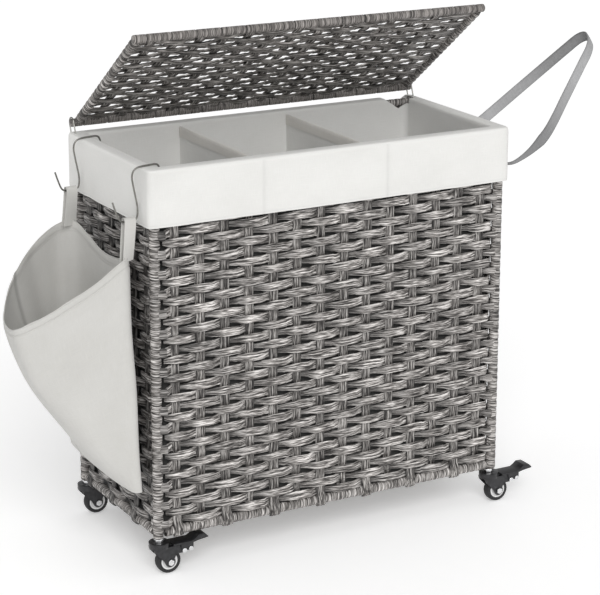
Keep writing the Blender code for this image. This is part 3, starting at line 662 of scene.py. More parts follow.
def makeUpright(index, spans, turn):
    # an upright strand; every other one goes down outside the bottom rail, the rest end behind it
    inset = weave["inset"]
    if index % 2 == 1:
        path = [(0.0062, 0.0600), (0.0022, 0.0632), (0.0012, 0.0700), (0.0020, 0.0770), (0.0060, 0.0860)]
    else:
        path = [(0.0200, 0.0640), (0.0200, 0.0680), (0.0197, 0.0720), (0.0180, 0.0780), (0.0130, 0.0880)]
    pitch = (weave["highZ"] - weave["lowZ"]) / weave["rows"]
    tilt = chance.normal(0.0, 0.0007, 6)
    wide = upright["width"] * chance.uniform(0.94, 1.06)
    shade = chance.uniform(-0.08, 0.06)
    width, depth = basket["width"], basket["depth"]
    centre = (depth if turn % 2 else width) * index / spans
    footShare = upright["footShare"]

    def place(u, v):
        across = 2 * v - 1
        bent = throughPoints(path, np.clip(u / footShare, 0, 1), False)
        share = np.clip((u - footShare) / (1 - footShare), 0, 1)
        z = np.where(u < footShare, bent[:, 1], path[-1][1] + share * (weave["highZ"] - path[-1][1]))
        row = (z - weave["lowZ"]) / pitch - 0.5
        sway = upright["sway"] * np.cos(math.pi * (row + index)) * np.clip(share * 20, 0, 1)
        settle = np.exp(-share * 14.0)
        deep = np.where(u < footShare, bent[:, 0], inset + (path[-1][0] - inset) * settle) + sway
        ribs = upright["ribHeight"] * np.cos(across * math.pi * upright["ribs"])
        deep = deep + upright["edge"] * across ** 4 - ribs
        narrow = 1.0 - 0.06 * np.cos(2 * math.pi * row)
        along = centre + across * wide / 2 * narrow + throughPoints(tilt[:, None], u, False)[:, 0]
        if turn == 0:
            x, y = along, deep
        elif turn == 1:
            x, y = width - deep, along
        elif turn == 2:
            x, y = width - along, depth - deep
        else:
            x, y = deep, depth - along
        return rowsOf(x + corner.x, y + corner.y, z)

    def tone(u, v):
        # painted shade in the valleys between the ribs and along the edges, and painted shade over the whole
        # left side
        across = np.abs(2 * v - 1)
        groove = upright["paintedGrooveShade"] * bell(across, upright["grooveAt"], upright["grooveWidth"])
        return shade + groove + upright["paintedEdgeShade"] * across ** 5 + weave["paintedLeftShade"] * (turn == 3)

    # u runs up and v to the right, so the grid's own face looks inwards and is turned over
    piece = gridPiece(90, 13, place, (0.6, upright["width"]), (turn * 1.3, index * 0.17), tone)
    inEditMode(piece, bpy.ops.mesh.flip_normals)
    return piece


def makeUprights():
    for turn, side in enumerate(("front", "right", "rear", "left")):
        spans = weave["sideSpans"] if turn % 2 else weave["frontSpans"]
        piece = joinPieces([makeUpright(index, spans, turn) for index in range(1, spans)])
        thicken(piece, upright["thickness"], -1.0, 50.0)
        finishPiece(piece, "upright_strands_" + side, uprightMaterial, "basket")
    print("uprights made")


wrap = {"grooveDepth": 0.20, "grooveReach": 0.0010, "paintedGrooveShade": 0.75, "grooveShade": 0.0013,
        "endTaper": 0.002, "ridgeTone": 0.06, "paintedHollowShade": 0.35}
post = {"radius": 0.0088, "proud": 0.0018, "pitch": 0.0157, "bulge": 0.12, "turns": 0.35, "steps": 230}
rail = {"pitch": 0.0125, "bulge": 0.12, "turns": 0.5}


def closeEnds():
    bpy.ops.mesh.select_non_manifold(extend=False)
    bpy.ops.mesh.edge_face_add()


def wrappedRod(start, end, radius, pitch, bulge, turns, grooves=0.0, along=None, around=20):
    # a rod wrapped in strand: bulging turns at the given pitch, leaning by turns round the rod
    start, end = Vector(start), Vector(end)
    line = end - start
    length = line.length
    turned = np.array(line.to_track_quat("Z", "Y").to_matrix()).T
    steps = along or max(int(length / pitch * 6), 8)
    phase = chance.uniform(0.0, 1.0)
    jitter = chance.normal(0.0, 0.04, max(int(length / pitch) + 3, 4))

    def turnAt(u, v):
        turn = u * length / pitch + turns * v + phase
        return turn, np.abs(np.sin(math.pi * turn)) ** 0.5

    def fromGroove(u):
        return np.abs((u * length / grooves) % 1.0 - 0.5) * grooves

    def place(u, v):
        angle = 2 * math.pi * v
        turn, ridge = turnAt(u, v)
        wander = jitter[np.floor(turn).astype(int) % len(jitter)]
        here = radius * (1.0 - bulge + (bulge + wander * bulge) * ridge)
        if grooves > 0.0:
            here = here * (1.0 - wrap["grooveDepth"] * bell(fromGroove(u), 0.0, wrap["grooveReach"]))
        taper = np.clip(np.minimum(u, 1 - u) * length / wrap["endTaper"], 0.0, 1.0) ** 0.5
        here = here * (0.85 + 0.15 * taper)
        return rowsOf(here * np.cos(angle), here * np.sin(angle), u * length) @ turned + np.array(start)

    def tone(u, v):
        # painted shade in the hollows between the turns, and in the binding's grooves
        shade = wrap["ridgeTone"] - wrap["paintedHollowShade"] * (1 - turnAt(u, v)[1])
        if grooves > 0.0:
            shade = shade - wrap["paintedGrooveShade"] * bell(fromGroove(u), 0.0, wrap["grooveShade"])
        return shade

    def wound(flat):
        # the fibres run round the rod, so the map's u goes round and its v along
        aroundIt = flat[:, 1] * 2 * math.pi * radius + phase
        return np.stack([aroundIt, flat[:, 0] * length + flat[:, 1] * turns * pitch], axis=1)

    piece = gridPiece(steps, around, place, (1.0, 1.0), (0.0, 0.0), tone)
    changeMap(piece.data, wound)
    mendSeams(piece)
    inEditMode(piece, closeEnds, "DESELECT")
    faceOut(piece)
    smooth(piece, 60.0)
    return piece


def makeFrameWraps():
    for right in (0, 1):
        for back in (0, 1):
            name = "post_" + ("rear_" if back else "front_") + ("right" if right else "left")
            middle, low, high = middleOf(name)
            x = middle.x + (1 if right else -1) * post["proud"]
            y = middle.y + (1 if back else -1) * post["proud"]
            piece = wrappedRod((x, y, low.z), (x, y, high.z), post["radius"], post["pitch"], post["bulge"],
                               post["turns"], along=post["steps"])
            finishPiece(piece, "wrapped_" + name, strandMaterial, "basket")
            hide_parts(name)
    for side in ("front", "rear", "left", "right"):
        for level in ("bottom", "top"):
            name = level + "_rail_" + side
            middle, low, high = middleOf(name)
            start, end = middle.copy(), middle.copy()
            way = 0 if side in ("front", "rear") else 1
            start[way], end[way] = low[way], high[way]
            piece = wrappedRod(start, end, (high.z - low.z) / 2, rail["pitch"], rail["bulge"], rail["turns"])
            finishPiece(piece, "wrapped_" + name, strandMaterial, "basket")
            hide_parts(name)
    print("frame wrapped")


# The lid: strands from side to side over and under others that run front to back

lid = {"rows": 18, "spans": 15, "inset": 0.0125, "firstRow": 0.011, "strandHeight": 0.0142,
       "thickness": 0.0017, "out": 0.0034, "back": 0.0034, "outAtEnd": 0.0074, "ribHeight": 0.0003,
       "crossWidth": 0.0150,
       "crossThickness": 0.0016, "crossSway": 0.0011}
lidRail = {"radius": 0.0070, "pitch": 0.0030, "bulge": 0.05, "turns": 1.0, "bind": 0.0435, "steps": 640,
           "sideRadius": 0.0076, "sideBulge": 0.30, "sideTurns": 0.5, "sideSteps": 150, "sideIn": 0.0074,
           "frontIn": 0.006}


def lidPlace():
    front = middleOf("lid_rail_front")[0]
    rear, low, high = middleOf("lid_rail_rear")
    reach = math.hypot(front.y - rear.y, front.z - rear.z)
    forward = Vector((0, front.y - rear.y, front.z - rear.z)).normalized()
    upward = Vector((1, 0, 0)).cross(forward) * -1.0
    return rear, forward, upward, reach, low.x, high.x


def makeLid():
    rear, forward, upward, reach, leftX, rightX = lidPlace()
    width = rightX - leftX
    spans, inset, first = lid["spans"], lid["inset"], lid["firstRow"]
    pitch = (reach - first - first) / lid["rows"]

    def spot(x, down, lift):
        return x, rear.y + forward.y * down + upward.y * lift, rear.z + forward.z * down + upward.z * lift

    rows = []
    for row in range(lid["rows"]):
        bulge = chance.uniform(0.8, 1.15, spans + 2)
        lift = chance.normal(0.0, 0.0011, spans + 2)
        squeeze = chance.uniform(0.14, 0.46, spans + 2)
        wide = chance.uniform(0.9, 1.08, spans + 2)
        shade = chance.uniform(-0.15, 0.12, spans + 2)

        def place(u, v):
            x = leftX + inset + u * (width - 2 * inset)
            phase = np.clip((x - leftX) / (width / spans), 0, spans)
            wave = np.cos(math.pi * (phase + row))
            wave = np.sign(wave) * np.abs(wave) ** 0.7
            nearEnd = np.clip(1 - np.minimum(phase, spans - phase) * 1.4, 0, 1)
            size = np.where(wave > 0, lid["out"], lid["back"]) * bulge[np.round(phase).astype(int)]
            size = size * (1 - nearEnd) + lid["outAtEnd"] * nearEnd
            across = 2 * v - 1
            cell = np.floor(phase).astype(int)
            f = phase - cell
            pinch = 1.0 - squeeze[cell] * bell(f, 0.5, 0.2)
            tall = lid["strandHeight"] * pinch * (wide[cell] * (1 - f) + wide[cell + 1] * f)
            stand = wave * size - np.sign(wave) * 0.0012 * across ** 2
            stand = stand + lid["ribHeight"] * np.cos(across * math.pi * 3.5)
            down = first + pitch * (row + 0.5) + across * tall / 2 + lift[cell] * (1 - f) + lift[cell + 1] * f
            return rowsOf(*spot(x, down, stand))

        def tone(u, v):
            phase = np.clip(u * spans, 0, spans)
            # painted shade where each strand dips between over and under
            turned = (1 - np.abs(np.cos(math.pi * phase))) ** 3
            return np.interp(phase, range(spans + 2), shade) - 0.15 * turned

        rows.append(gridPiece(160, 7, place, (0.63, lid["strandHeight"]), (row * 2.9, row * 0.33), tone))
    piece = joinPieces(rows)
    thicken(piece, lid["thickness"], 0.0, 50.0)
    finishPiece(piece, "lid_rows", lidMaterial, "lid")
    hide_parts("lid_woven_panel")

    cross = []
    for index in range(1, spans):
        centre = leftX + width * index / spans
        drift = chance.normal(0.0, 0.0012, 7)
        shade = chance.uniform(-0.2, 0.0)

        def placeCross(u, v):
            down = 0.004 + u * (reach - 0.008)
            row = (down - first) / pitch - 0.5
            across = 2 * v - 1
            stand = -lid["crossSway"] * np.cos(math.pi * (row + index))
            stand = stand - lid["ribHeight"] * np.cos(across * math.pi * 3.0)
            x = centre + across * lid["crossWidth"] / 2 * (1 - 0.08 * np.cos(2 * math.pi * row))
            return rowsOf(*spot(x + throughPoints(drift[:, None], u, False)[:, 0], down, stand))

        cross.append(gridPiece(60, 7, placeCross, (0.3, lid["crossWidth"]), (index * 1.7, 0.4),
                               lambda u, v: np.full_like(u, shade)))
    piece = joinPieces(cross)
    thicken(piece, lid["crossThickness"], 0.0, 50.0)
    finishPiece(piece, "lid_cross_strands", lidMaterial, "lid")

    inner = lidRail["frontIn"]
    ends = (("front", reach, leftX + inner, rightX - inner), ("rear", 0.0, leftX, rightX))
    for side, down, low, high in ends:
        piece = wrappedRod(spot(low, down, 0), spot(high, down, 0), lidRail["radius"], lidRail["pitch"],
                           lidRail["bulge"], lidRail["turns"], lidRail["bind"], lidRail["steps"], 16)
        finishPiece(piece, "wrapped_lid_rail_" + side, lidRailMaterial, "lid")
        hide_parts("lid_rail_" + side)
    for side, x in (("left", leftX + inset), ("right", rightX - inset)):
        piece = wrappedRod(spot(x, lidRail["sideIn"], 0), spot(x, reach - lidRail["sideIn"], 0),
                           lidRail["sideRadius"], pitch, lidRail["sideBulge"], lidRail["sideTurns"],
                           along=lidRail["sideSteps"])
        finishPiece(piece, "wrapped_lid_rail_" + side, lidMaterial, "lid")
        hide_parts("lid_rail_" + side)
    print("lid made")


# The liner: walls and a turned-down cuff in one sheet, its floor, and two dividers with hemmed tops

# the last two entries set where and how strongly the liner's outside behind the weave takes painted shade
liner = {"inset": 0.0196, "corner": 0.0115, "thickness": 0.0012, "cuffOut": -0.0034, "cuffCorner": 0.0085,
         "cuffHeight": 0.089, "topZ": 0.6716, "floorZ": 0.0735, "dividers": (0.192, 0.397), "hem": 0.017,
         "notchCentre": 0.625, "notchHalf": 0.028, "notchDepth": 0.019, "seams": (0.199, 0.423),
         "paintedSeamShade": 0.10, "paintedCornerShade": 0.05, "stitchAt": 0.965, "stitchTone": 0.09, "floorIn": 0.0215,
         "ripple": 0.0008,
         "belly": 0.0035, "dividerThickness": 0.0011, "hemThickness": 0.0006, "hemWidth": 0.036,
         "paintedShadeBelow": (0.094, 0.091), "paintedShadeDepth": 0.94}


def makeLiner():
    top = liner["topZ"]
    low = basket["rimZ"] - liner["cuffHeight"]
    # down the wall from the rim inside, and down the cuff outside: share of the way, inset, height
    profile = [(liner["inset"], liner["floorZ"] + 0.001), (liner["inset"], 0.25), (liner["inset"], 0.45),
               (liner["inset"], 0.60), (liner["inset"], top - 0.012), (liner["inset"] - 0.0002, top - 0.004),
               (liner["inset"] - 0.0022, top - 0.0008), (0.0120, top), (0.0040, top),
               (-0.0014, top - 0.0006), (-0.0030, top - 0.0032), (liner["cuffOut"], top - 0.010),
               (liner["cuffOut"], top - 0.045), (liner["cuffOut"], low + 0.010),
               (liner["cuffOut"] + 0.0003, low)]
    profile = np.array(profile)
    phases = chance.uniform(0.0, 2 * math.pi, 12)
    marks = pathMarks()[3]
    strapSide = (marks[2] + marks[3]) / 2 / marks[-1]

    def place(u, v):
        spots = throughPoints(profile, v, False)
        inset, z = spots[:, 0], spots[:, 1]
        share = np.clip((inset - liner["cuffOut"]) / (liner["inset"] - liner["cuffOut"]), 0, 1)
        cornerRadius = liner["cuffCorner"] * (1 - share) + liner["corner"] * share
        girth = 2 * math.pi * u
        soft = liner["ripple"] * np.sin(girth * 9 + phases[0])
        soft = soft + 0.0006 * np.sin(girth * 17 + phases[1] + z * 20)
        underStrap = np.clip(1.0 - (np.abs(u - strapSide) - 0.05) / 0.03, 0.0, 1.0)
        soft = soft * (1.0 - 0.9 * underStrap)
        inside = 0.0012 * np.sin(girth * 7 + phases[2]) * np.sin(math.pi * np.clip((z - 0.07) / 0.6, 0, 1))
        hang = np.clip((top - z) / liner["cuffHeight"], 0, 1)
        inset = inset + np.where(v > 0.62, -np.abs(soft) * 1.2 * hang, 0.0)
        inset = inset + np.where(v < 0.35, np.abs(inside), 0)
        flat, normal = roundedPath(u, inset, cornerRadius)
        return rowsOf(flat[:, 0] + corner.x, flat[:, 1] + corner.y, z)

    def tone(u, v):
        # painted shade along the seams down the cuff's front and around its softened corners, and the
        # stitched line above its edge
        flat = roundedPath(u, 0.0 * u, 0.01 + 0.0 * u)[0]
        onFront = flat[:, 1] < 0.05
        shade = np.zeros_like(u)
        for seam in liner["seams"]:
            shade = shade - liner["paintedSeamShade"] * bell(flat[:, 0], seam, 0.0026) * onFront
        for side in (0.0, basket["width"]):
            shade = shade - liner["paintedCornerShade"] * bell(flat[:, 0], side, 0.016) * onFront
        shade = shade - liner["stitchTone"] * bell(v, liner["stitchAt"], 0.010)
        return shade * (v > 0.72)  # none on the wall inside

    piece = gridPiece(420, 72, place, (1.9, 0.8), (0.0, 0.0), tone)
    mendSeams(piece)
    cutNotch(piece)
    thicken(piece, liner["thickness"])
    finishPiece(piece, "liner_cloth", linerMaterial, "basket")
    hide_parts("liner_bag", "liner_cuff")
    base = liner["floorZ"] + 0.0012

    def placeFloor(u, v):
        x = liner["floorIn"] + u * (basket["width"] - 2 * liner["floorIn"])
        y = liner["floorIn"] + v * (basket["depth"] - 2 * liner["floorIn"])
        ripple = 0.0006 * np.sin(u * 23) * np.sin(v * 11)
        return rowsOf(x + corner.x, y + corner.y, base + ripple)

    floor = gridPiece(60, 30, placeFloor, (0.62, 0.27))
    thicken(floor, liner["thickness"])
    finishPiece(floor, "liner_floor", linerMaterial, "basket")
    for name, middleX in zip(("liner_divider_left", "liner_divider_right"), liner["dividers"]):
        makeDivider(name, middleX)
    print("liner made")


def cutNotch(piece):
    # the rear rim is cut down to a V over the rail
    shape = bmesh.new()
    shape.from_mesh(piece.data)
    tip = corner + Vector((liner["notchCentre"], basket["depth"], liner["topZ"] - liner["notchDepth"]))
    for way in (-1, 1):
        near = []
        for face in shape.faces:
            away = face.calc_center_median() - tip
            if away.y > -0.03 and abs(away.x) < liner["notchHalf"] + 0.01 and away.z > -0.008:
                near.append(face)
        edges = list({edge for face in near for edge in face.edges})
        points = list({vert for face in near for vert in face.verts})
        bmesh.ops.bisect_plane(shape, geom=near + edges + points, plane_co=tip, dist=0.00002,
                               plane_no=(liner["notchDepth"], 0.0, -way * liner["notchHalf"]))
    spent = []
    for face in shape.faces:
        middle = face.calc_center_median() - corner
        reach = liner["notchHalf"] * (1.0 - (liner["topZ"] - middle.z) / liner["notchDepth"])
        if middle.y > basket["depth"] - 0.03 and abs(middle.x - liner["notchCentre"]) < reach:
            spent.append(face)
    bmesh.ops.delete(shape, geom=spent, context="FACES")
    shape.to_mesh(piece.data)
    shape.free()


def makeDivider(name, middleX):
    low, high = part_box(name)
    floor, top = low[2], high[2]
    near, far = low[1] - 0.0006, high[1] + 0.0006
    lean = chance.uniform(-0.004, 0.004)

    def hungX(u, share):
        slack = liner["belly"] * np.sin(math.pi * share) + lean * share * (1 - share) * 4
        belly = np.sin(math.pi * u) * slack
        ripple = liner["ripple"] * np.sin(share * 19 + u * 5) * np.sin(math.pi * u)
        return middleX + corner.x + belly + ripple

    def place(u, v):
        return rowsOf(hungX(u, v), near + u * (far - near), floor + v * (top - floor))

    sheet = gridPiece(40, 80, place, (far - near, top - floor))
    thicken(sheet, liner["dividerThickness"])
    finishPiece(sheet, name + "_cloth", linerMaterial, "basket")
    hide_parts(name)

    def placeHem(u, v):
        # a folded band over the divider's top edge
        path = [(-0.0012, top - liner["hem"]), (-0.0014, top - 0.010), (-0.0013, top - 0.002),
                (0.0, top + 0.0006), (0.0013, top - 0.002), (0.0014, top - 0.010),
                (0.0012, top - liner["hem"])]
        fold = throughPoints(path, v, False)
        share = (fold[:, 1] - floor) / (top - floor)
        return rowsOf(hungX(u, share) + fold[:, 0], near + u * (far - near), fold[:, 1])

    hem = gridPiece(40, 12, placeHem, (far - near, liner["hemWidth"]))
    thicken(hem, liner["hemThickness"])
    finishPiece(hem, name + "_hem", hemMaterial, "basket")


# The side bag: its mouth seen from above and anticlockwise, and the line that its bottom seam follows

bag = {"bottomZ": 0.147, "drawIn": 1.5, "height": 0.40, "crowding": 1.35, "thickness": 0.0014, "hem": 0.016,
       "hemProud": 0.0011, "stitchIn": 0.0022, "stitchDeep": 0.0009, "stitchTone": 0.10, "seam": 0.47,
       "seamDeep": 0.0016, "paintedSeamShade": 0.34}
tab = {"width": 0.019, "thickness": 0.0009, "hookX": -0.0250, "hookZ": 0.5885, "footX": -0.0300,
       "front": {"y": 0.026, "foot": 0.526, "twist": 0.5}, "rear": {"y": 0.252, "foot": 0.530, "twist": 0.2}}
bagMouth = ((-0.012, 0.060, 0.520), (-0.010, 0.110, 0.508), (-0.010, 0.165, 0.507), (-0.012, 0.215, 0.522),
            (-0.022, 0.250, 0.538), (-0.048, 0.262, 0.532), (-0.085, 0.255, 0.512), (-0.120, 0.235, 0.488),
            (-0.158, 0.200, 0.456), (-0.186, 0.155, 0.428), (-0.197, 0.110, 0.418), (-0.190, 0.078, 0.426),
            (-0.160, 0.058, 0.444), (-0.120, 0.040, 0.470), (-0.075, 0.024, 0.502), (-0.035, 0.018, 0.532))
bagFoot = ((-0.0135, 0.050), (-0.013, 0.105), (-0.013, 0.162), (-0.013, 0.213),
           (-0.014, 0.255), (-0.020, 0.276), (-0.029, 0.266), (-0.033, 0.232),
           (-0.036, 0.186), (-0.037, 0.141), (-0.037, 0.096), (-0.036, 0.061),
           (-0.034, 0.036), (-0.032, 0.018), (-0.026, 0.008), (-0.016, 0.013))
bagFootRing = [(x, y, bag["bottomZ"]) for x, y in bagFoot]


def bagSurface(t, share, lift):
    # a point on the bag: t round it, share from mouth to foot, lift outwards from the cloth
    mouth, foot = throughPoints(bagMouth, t, True), throughPoints(bagFootRing, t, True)
    nextT = (t + 0.01) % 1.0
    draw = (share ** bag["drawIn"])[:, None]
    spots = mouth * (1 - draw) + foot * draw
    ahead = throughPoints(bagMouth, nextT, True) * (1 - draw) + throughPoints(bagFootRing, nextT, True) * draw
    spots[:, 2] = mouth[:, 2] * (1 - share) + foot[:, 2] * share
    along = ahead[:, :2] - spots[:, :2]
    along = along / np.maximum(np.linalg.norm(along, axis=1), 1e-9)[:, None]
    outward = np.stack([-along[:, 1], along[:, 0]], axis=1)
    # three sets of soft folds: broad ones down it, narrow ones under the mouth, and slack across it
    broad = 0.0030 * np.sin(2 * math.pi * t * 5 + 0.6) * np.sin(math.pi * share) ** 0.8
    narrow = 0.0018 * np.sin(2 * math.pi * t * 11 + 2.1 + share * 2.0)
    narrow = narrow * (1 - share) ** 1.5 * share ** 0.3 * 1.6
    slack = 0.0020 * np.sin(share * 9.0 + 2 * math.pi * t * 2) * np.sin(math.pi * share)
    swell = broad + narrow + slack
    against = np.clip((spots[:, 0] + 0.03) / 0.02, 0.0, 1.0)
    reach = lift + swell * (1 - against * 0.8) - 0.0006
    spots[:, :2] += outward * reach[:, None]
    return spots


def makeBag():
    def place(u, v):
        t = (1.0 - u) % 1.0
        depth = v ** bag["crowding"]
        down = depth * bag["height"]
        puff = bag["hemProud"] * (1.0 - np.clip((down - bag["hem"]) / 0.0008, 0.0, 1.0))
        for stitch in (bag["stitchIn"], bag["hem"] - bag["stitchIn"]):
            puff = puff - bag["stitchDeep"] * bell(down, stitch, 0.0007)
        puff = puff - bag["seamDeep"] * bell(t, bag["seam"], 0.006)
        return bagSurface(t, depth, puff) + np.array(corner)

    def tone(u, v):
        t = (1.0 - u) % 1.0
        down = v ** bag["crowding"] * bag["height"]
        # painted shade in the seam's groove
        shade = -bag["paintedSeamShade"] * bell(t, bag["seam"], 0.0045)
        # the last of these lines, just under the hem's edge, is painted shade under the fold
        for stitch in (bag["stitchIn"], bag["hem"] - bag["stitchIn"], bag["hem"] + 0.0008):
            shade = shade - bag["stitchTone"] * bell(down, stitch, 0.0007)
        return shade

    piece = gridPiece(220, 110, place, (0.62, 0.41), (0.0, 0.0), tone)
    mendSeams(piece)
    closeFoot(piece)
    faceOut(piece)
    thicken(piece, bag["thickness"], -1.0)
    finishPiece(piece, "bag_cloth", bagMaterial, "side_bag")
    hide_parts("bag_pouch")
    for side in ("front", "rear"):
        makeTab(side)
    print("bag made")


def closeFoot(piece):
    # sews the open ring at the bottom shut
    shape = bmesh.new()
    shape.from_mesh(piece.data)
    low = [edge for edge in shape.edges if edge.is_boundary
           and max(vert.co.z for vert in edge.verts) < bag["bottomZ"] + 0.004]
    bmesh.ops.holes_fill(shape, edges=low, sides=0)
    shape.to_mesh(piece.data)
    shape.free()


def makeTab(side):
    # a strip of cloth that goes over the hook and is sewn to the bag's rim, front and back
    top, foot = tab["hookZ"], tab[side]["foot"]
    path = [(0.0034, foot), (0.0038, foot + 0.016), (0.0054, top - 0.020), (0.0060, top - 0.004),
            (0.0046, top + 0.0044), (0.0, top + 0.0064), (-0.0046, top + 0.0044), (-0.0060, top - 0.004),
            (-0.0054, top - 0.020), (-0.0038, foot + 0.016), (-0.0034, foot)]

    def place(u, v):
        spots = throughPoints(path, u, False)
        drop = np.clip((top - spots[:, 1]) / (top - foot), 0, 1)
        across = (2 * v - 1) * (tab["width"] / 2) * (1.0 - 0.08 * np.sin(math.pi * drop) + 0.30 * drop)
        angle = tab[side]["twist"] * drop ** 1.5
        leanX = tab["hookX"] + (tab["footX"] - tab["hookX"]) * drop
        x = leanX + across * np.cos(angle) - spots[:, 0] * np.sin(angle)
        y = tab[side]["y"] + across * np.sin(angle) + spots[:, 0] * np.cos(angle)
        return rowsOf(x + corner.x, y + corner.y, spots[:, 1])

    piece = gridPiece(70, 12, place, (0.13, tab["width"]))
    thicken(piece, tab["thickness"])
    finishPiece(piece, "bag_tab_cloth_" + side, bagMaterial, "side_bag")
    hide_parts("bag_tab_" + side)


# The pull strap

# the strap's tones along its length and at its edges are painted light and shade
strap = {"axis": (0.6712, 0.0, 0.602), "tilt": 34.0, "width": 0.020, "endWidths": (0.004, 0.008),
         "tapers": (0.100, 0.062), "powers": (2.0, 1.5), "thickness": 0.0017, "curl": 0.0006,
         "paintedEdgeShade": -0.22, "lightAndShadeAt": (0.0, 0.12, 0.25, 0.36, 0.46, 0.50, 0.54, 0.62, 0.75, 0.90, 1.0),
         "tone": (-0.10, -0.40, -0.10, 0.25, 0.05, -0.05, -0.42, -0.38, -0.05, 0.12, 0.05)}
strapRoute = ((0.040, 0.0), (0.022, 0.001), (0.006, 0.009), (-0.002, 0.030), (-0.003, 0.056), (0.003, 0.086),
              (0.020, 0.121), (0.047, 0.167), (0.072, 0.211), (0.096, 0.254), (0.114, 0.286), (0.134, 0.308),
              (0.155, 0.317), (0.168, 0.306), (0.171, 0.275), (0.173, 0.225), (0.175, 0.170), (0.177, 0.113),
              (0.179, 0.070), (0.182, 0.035), (0.190, 0.010), (0.206, 0.001), (0.224, 0.0))


def makeStrap():
    tilt = math.radians(strap["tilt"])
    side = np.array([-math.sin(tilt), 0.0, math.cos(tilt)])
    base = np.array(at(*strap["axis"]))
    outward = np.array([math.cos(tilt), 0.0, math.sin(tilt)])
    backward = np.array([0.0, 1.0, 0.0])
    fine = np.linspace(0, 1, 1200)
    line = throughPoints(strapRoute, fine, False)
    travel = np.concatenate([[0.0], np.cumsum(np.linalg.norm(np.diff(line, axis=0), axis=1))])
    length = travel[-1]

    def place(u, v):
        t = np.interp(u * length, travel, fine)
        spots = throughPoints(strapRoute, t, False)
        ahead = throughPoints(strapRoute, np.clip(t + 0.002, 0, 1), False)
        ahead = ahead - throughPoints(strapRoute, np.clip(t - 0.002, 0, 1), False)
        ahead = ahead / np.linalg.norm(ahead, axis=1)[:, None]
        centre = base + spots[:, 1:2] * outward + spots[:, 0:1] * backward
        wide = strap["width"]
        ends = zip((u, 1 - u), strap["endWidths"], strap["tapers"], strap["powers"])
        for fromEnd, start, reach, power in ends:
            share = np.clip(fromEnd * length / reach, 0, 1) ** power
            wide = np.minimum(wide, start + (strap["width"] - start) * share)
        across = 2 * v - 1
        edge = np.stack([ahead[:, 1], -ahead[:, 0]], axis=1)
        lie = edge[:, 0:1] * backward + edge[:, 1:2] * outward
        curl = strap["curl"] * across ** 2 * np.sin(u * 14.0)
        return centre + side * (across * wide / 2)[:, None] + lie * curl[:, None]

    def tone(u, v):
        # painted light and shade along the strap's length, and painted shade along its edges
        return np.interp(u, strap["lightAndShadeAt"], strap["tone"]) + strap["paintedEdgeShade"] * np.abs(2 * v - 1) ** 6

    piece = gridPiece(260, 10, place, (length, strap["width"]), (0.0, 0.0), tone)
    thicken(piece, strap["thickness"], 0.0, 50.0)
    finishPiece(piece, "pull_strap_webbing", webbingMaterial, "strap")
    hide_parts("pull_strap")
    print("strap made, length", round(length, 3))


# Casters: the solids keep their places, with their edges rounded and pin heads added

caster = {"sides": ("front_left", "front_right", "rear_left", "rear_right"), "flatWithin": 2.0,
          "roundPast": 38.0}
# for each: CAD node, piece, body, slot, width of the rounded edge, and its segments
casterPieces = (("caster_fork_", "fork_", "swivel_", "black_steel", 0.0004, 2),
                ("brake_pedal_", "pedal_", "pedal_", "black_steel", 0.0004, 2),
                ("wheel_axle_", "axle_bolt_", "swivel_", "bright_steel", 0.0004, 2),
                ("caster_stem_", "stem_", "", "bright_steel", 0.0004, 2),
                ("tyre_", "wheel_tyre_", "wheel_", "tyre_rubber", 0.0006, 3),
                ("wheel_hub_", "hub_", "wheel_", "hub_plastic", 0.0005, 2))
pin = {"radius": 0.0040, "low": 0.0134, "high": 0.0150, "edge": 0.0005,
       "spots": ((0.039, 0.037), (0.0505, 0.0385))}


def roundedCopy(node, name, body, slotName, width, segments):
    source = next(item for item in bpy.data.objects if item.name == node)
    piece = bpy.data.objects.new(name, source.data.copy())
    bpy.context.scene.collection.objects.link(piece)
    mendSeams(piece)
    inEditMode(piece, lambda: bpy.ops.mesh.dissolve_limited(angle_limit=math.radians(caster["flatWithin"])))
    roundEdges(piece, width, segments, caster["roundPast"])
    smooth(piece, 40.0)
    finishPiece(piece, name, slotMaterials[slotName], body)
    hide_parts(node)


def makePins(side):
    # round pin heads outside the pedal's lugs: the pivot's pair rides on the fork, the spring's on the pedal
    middle = middleOf("caster_stem_" + side)[0]
    away = (pin["low"] + pin["high"]) / 2
    for (x, z), name, body in zip(pin["spots"], ("pivot_pins_", "spring_pins_"), ("swivel_", "pedal_")):
        heads = []
        for way in (-1, 1):
            deselectAll()
            bpy.ops.mesh.primitive_cylinder_add(vertices=24, radius=pin["radius"],
                                                depth=pin["high"] - pin["low"],
                                                location=(middle.x + x, middle.y + way * away, z),
                                                rotation=(math.pi / 2, 0.0, 0.0))
            head = bpy.context.object
            bpy.ops.object.transform_apply(location=True, rotation=True, scale=True)
            roundEdges(head, pin["edge"], 3, 30.0)
            heads.append(head)
        piece = joinPieces(heads)
        smooth(piece, 40.0)
        finishPiece(piece, name + side, slotMaterials["bright_steel"], body + side)


def makeCasters():
    for side in caster["sides"]:
        makePins(side)
        for node, name, body, slotName, width, segments in casterPieces:
            rideOn = body + side if body else "basket"
            roundedCopy(node + side, name + side, rideOn, slotName, width, segments)
    print("casters made")


def paintNodes(names, material):
    for name in names:
        node = next(item for item in bpy.data.objects if item.name == name)
        node.data.materials.clear()
        node.data.materials.append(material)


makeCamera()
makeStudio()
print("camera and light set")

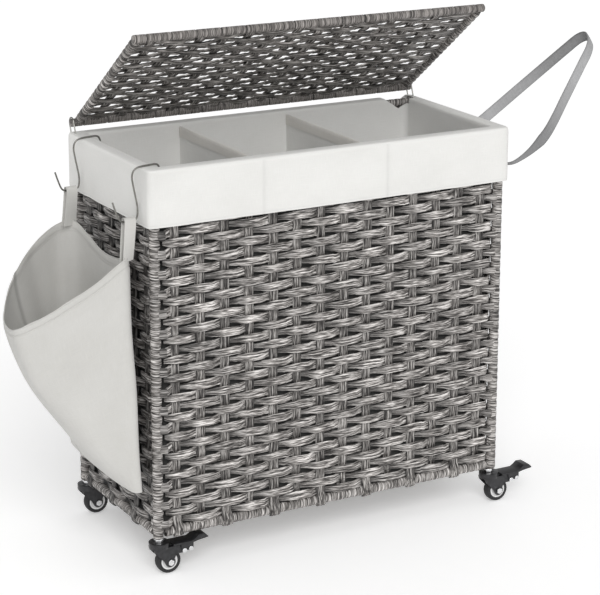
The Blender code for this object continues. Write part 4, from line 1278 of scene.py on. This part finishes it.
fibreGroup = makeFibreGroup()
clothGroup = makeClothGroup()
strandMaterial = makeStrandMaterial("greyStrand", (0.022, 0.019, 0.017), (0.275, 0.257, 0.243),
                                    (0.80, 0.77, 0.745))
uprightMaterial = makeStrandMaterial("greyUpright", (0.010, 0.008, 0.008), (0.175, 0.162, 0.152),
                                     (0.62, 0.595, 0.57))
lidMaterial = makeStrandMaterial("greyLidStrand", (0.014, 0.012, 0.011), (0.185, 0.170, 0.158),
                                 (0.62, 0.59, 0.565))
lidRailMaterial = makeStrandMaterial("greyRailWrap", (0.05, 0.045, 0.042), (0.24, 0.22, 0.205),
                                     (0.47, 0.44, 0.42), 650.0, 1200.0)
# the liner's cloth takes painted shade on its outside behind the weave
linerMaterial = makeClothMaterial("linerCotton", (0.80, 0.795, 0.772), (0.735, 0.73, 0.705), shadeBehindWeave=True)
bagMaterial = makeClothMaterial("bagCotton", (0.60, 0.592, 0.568), (0.545, 0.537, 0.51))
hemMaterial = makeClothMaterial("hemCotton", (0.76, 0.74, 0.70), (0.69, 0.67, 0.625))
webbingMaterial = makeClothMaterial("greyWebbing", (0.40, 0.40, 0.405), (0.29, 0.29, 0.295), 230.0, 0.0008)
wireMaterial = makeMetalMaterial("drawnWire", (0.22, 0.215, 0.20), 0.32, 0.85, 0.25)
blackSteel = makeMetalMaterial("blackZinc", (0.018, 0.018, 0.02), 0.33, 0.35, 0.4, 0.3)
brightSteel = makeMetalMaterial("brightZinc", (0.74, 0.74, 0.75), 0.22, 1.0, 0.12)
tyreMaterial = makeMetalMaterial("blackRubber", (0.016, 0.016, 0.017), 0.7, 0.0, 0.3)
hubMaterial = makeMetalMaterial("paleHub", (0.72, 0.72, 0.72), 0.38, 0.0, 0.05)
boardMaterial = makeMetalMaterial("stainedBoard", (0.09, 0.08, 0.07), 0.7, 0.0, 0.2)
slotMaterials = {"black_steel": blackSteel, "bright_steel": brightSteel, "tyre_rubber": tyreMaterial,
                 "hub_plastic": hubMaterial}
print("materials made")

makeWefts()
makeUprights()
makeFrameWraps()
makeLid()
makeLiner()
makeBag()
makeStrap()
makeCasters()
paintNodes(["bag_hook_front", "bag_hook_rear", "hinge_link_left", "hinge_link_right"], wireMaterial)
paintNodes(["strap_patch_front", "strap_patch_rear"], webbingMaterial)
paintNodes(["base_board"], boardMaterial)
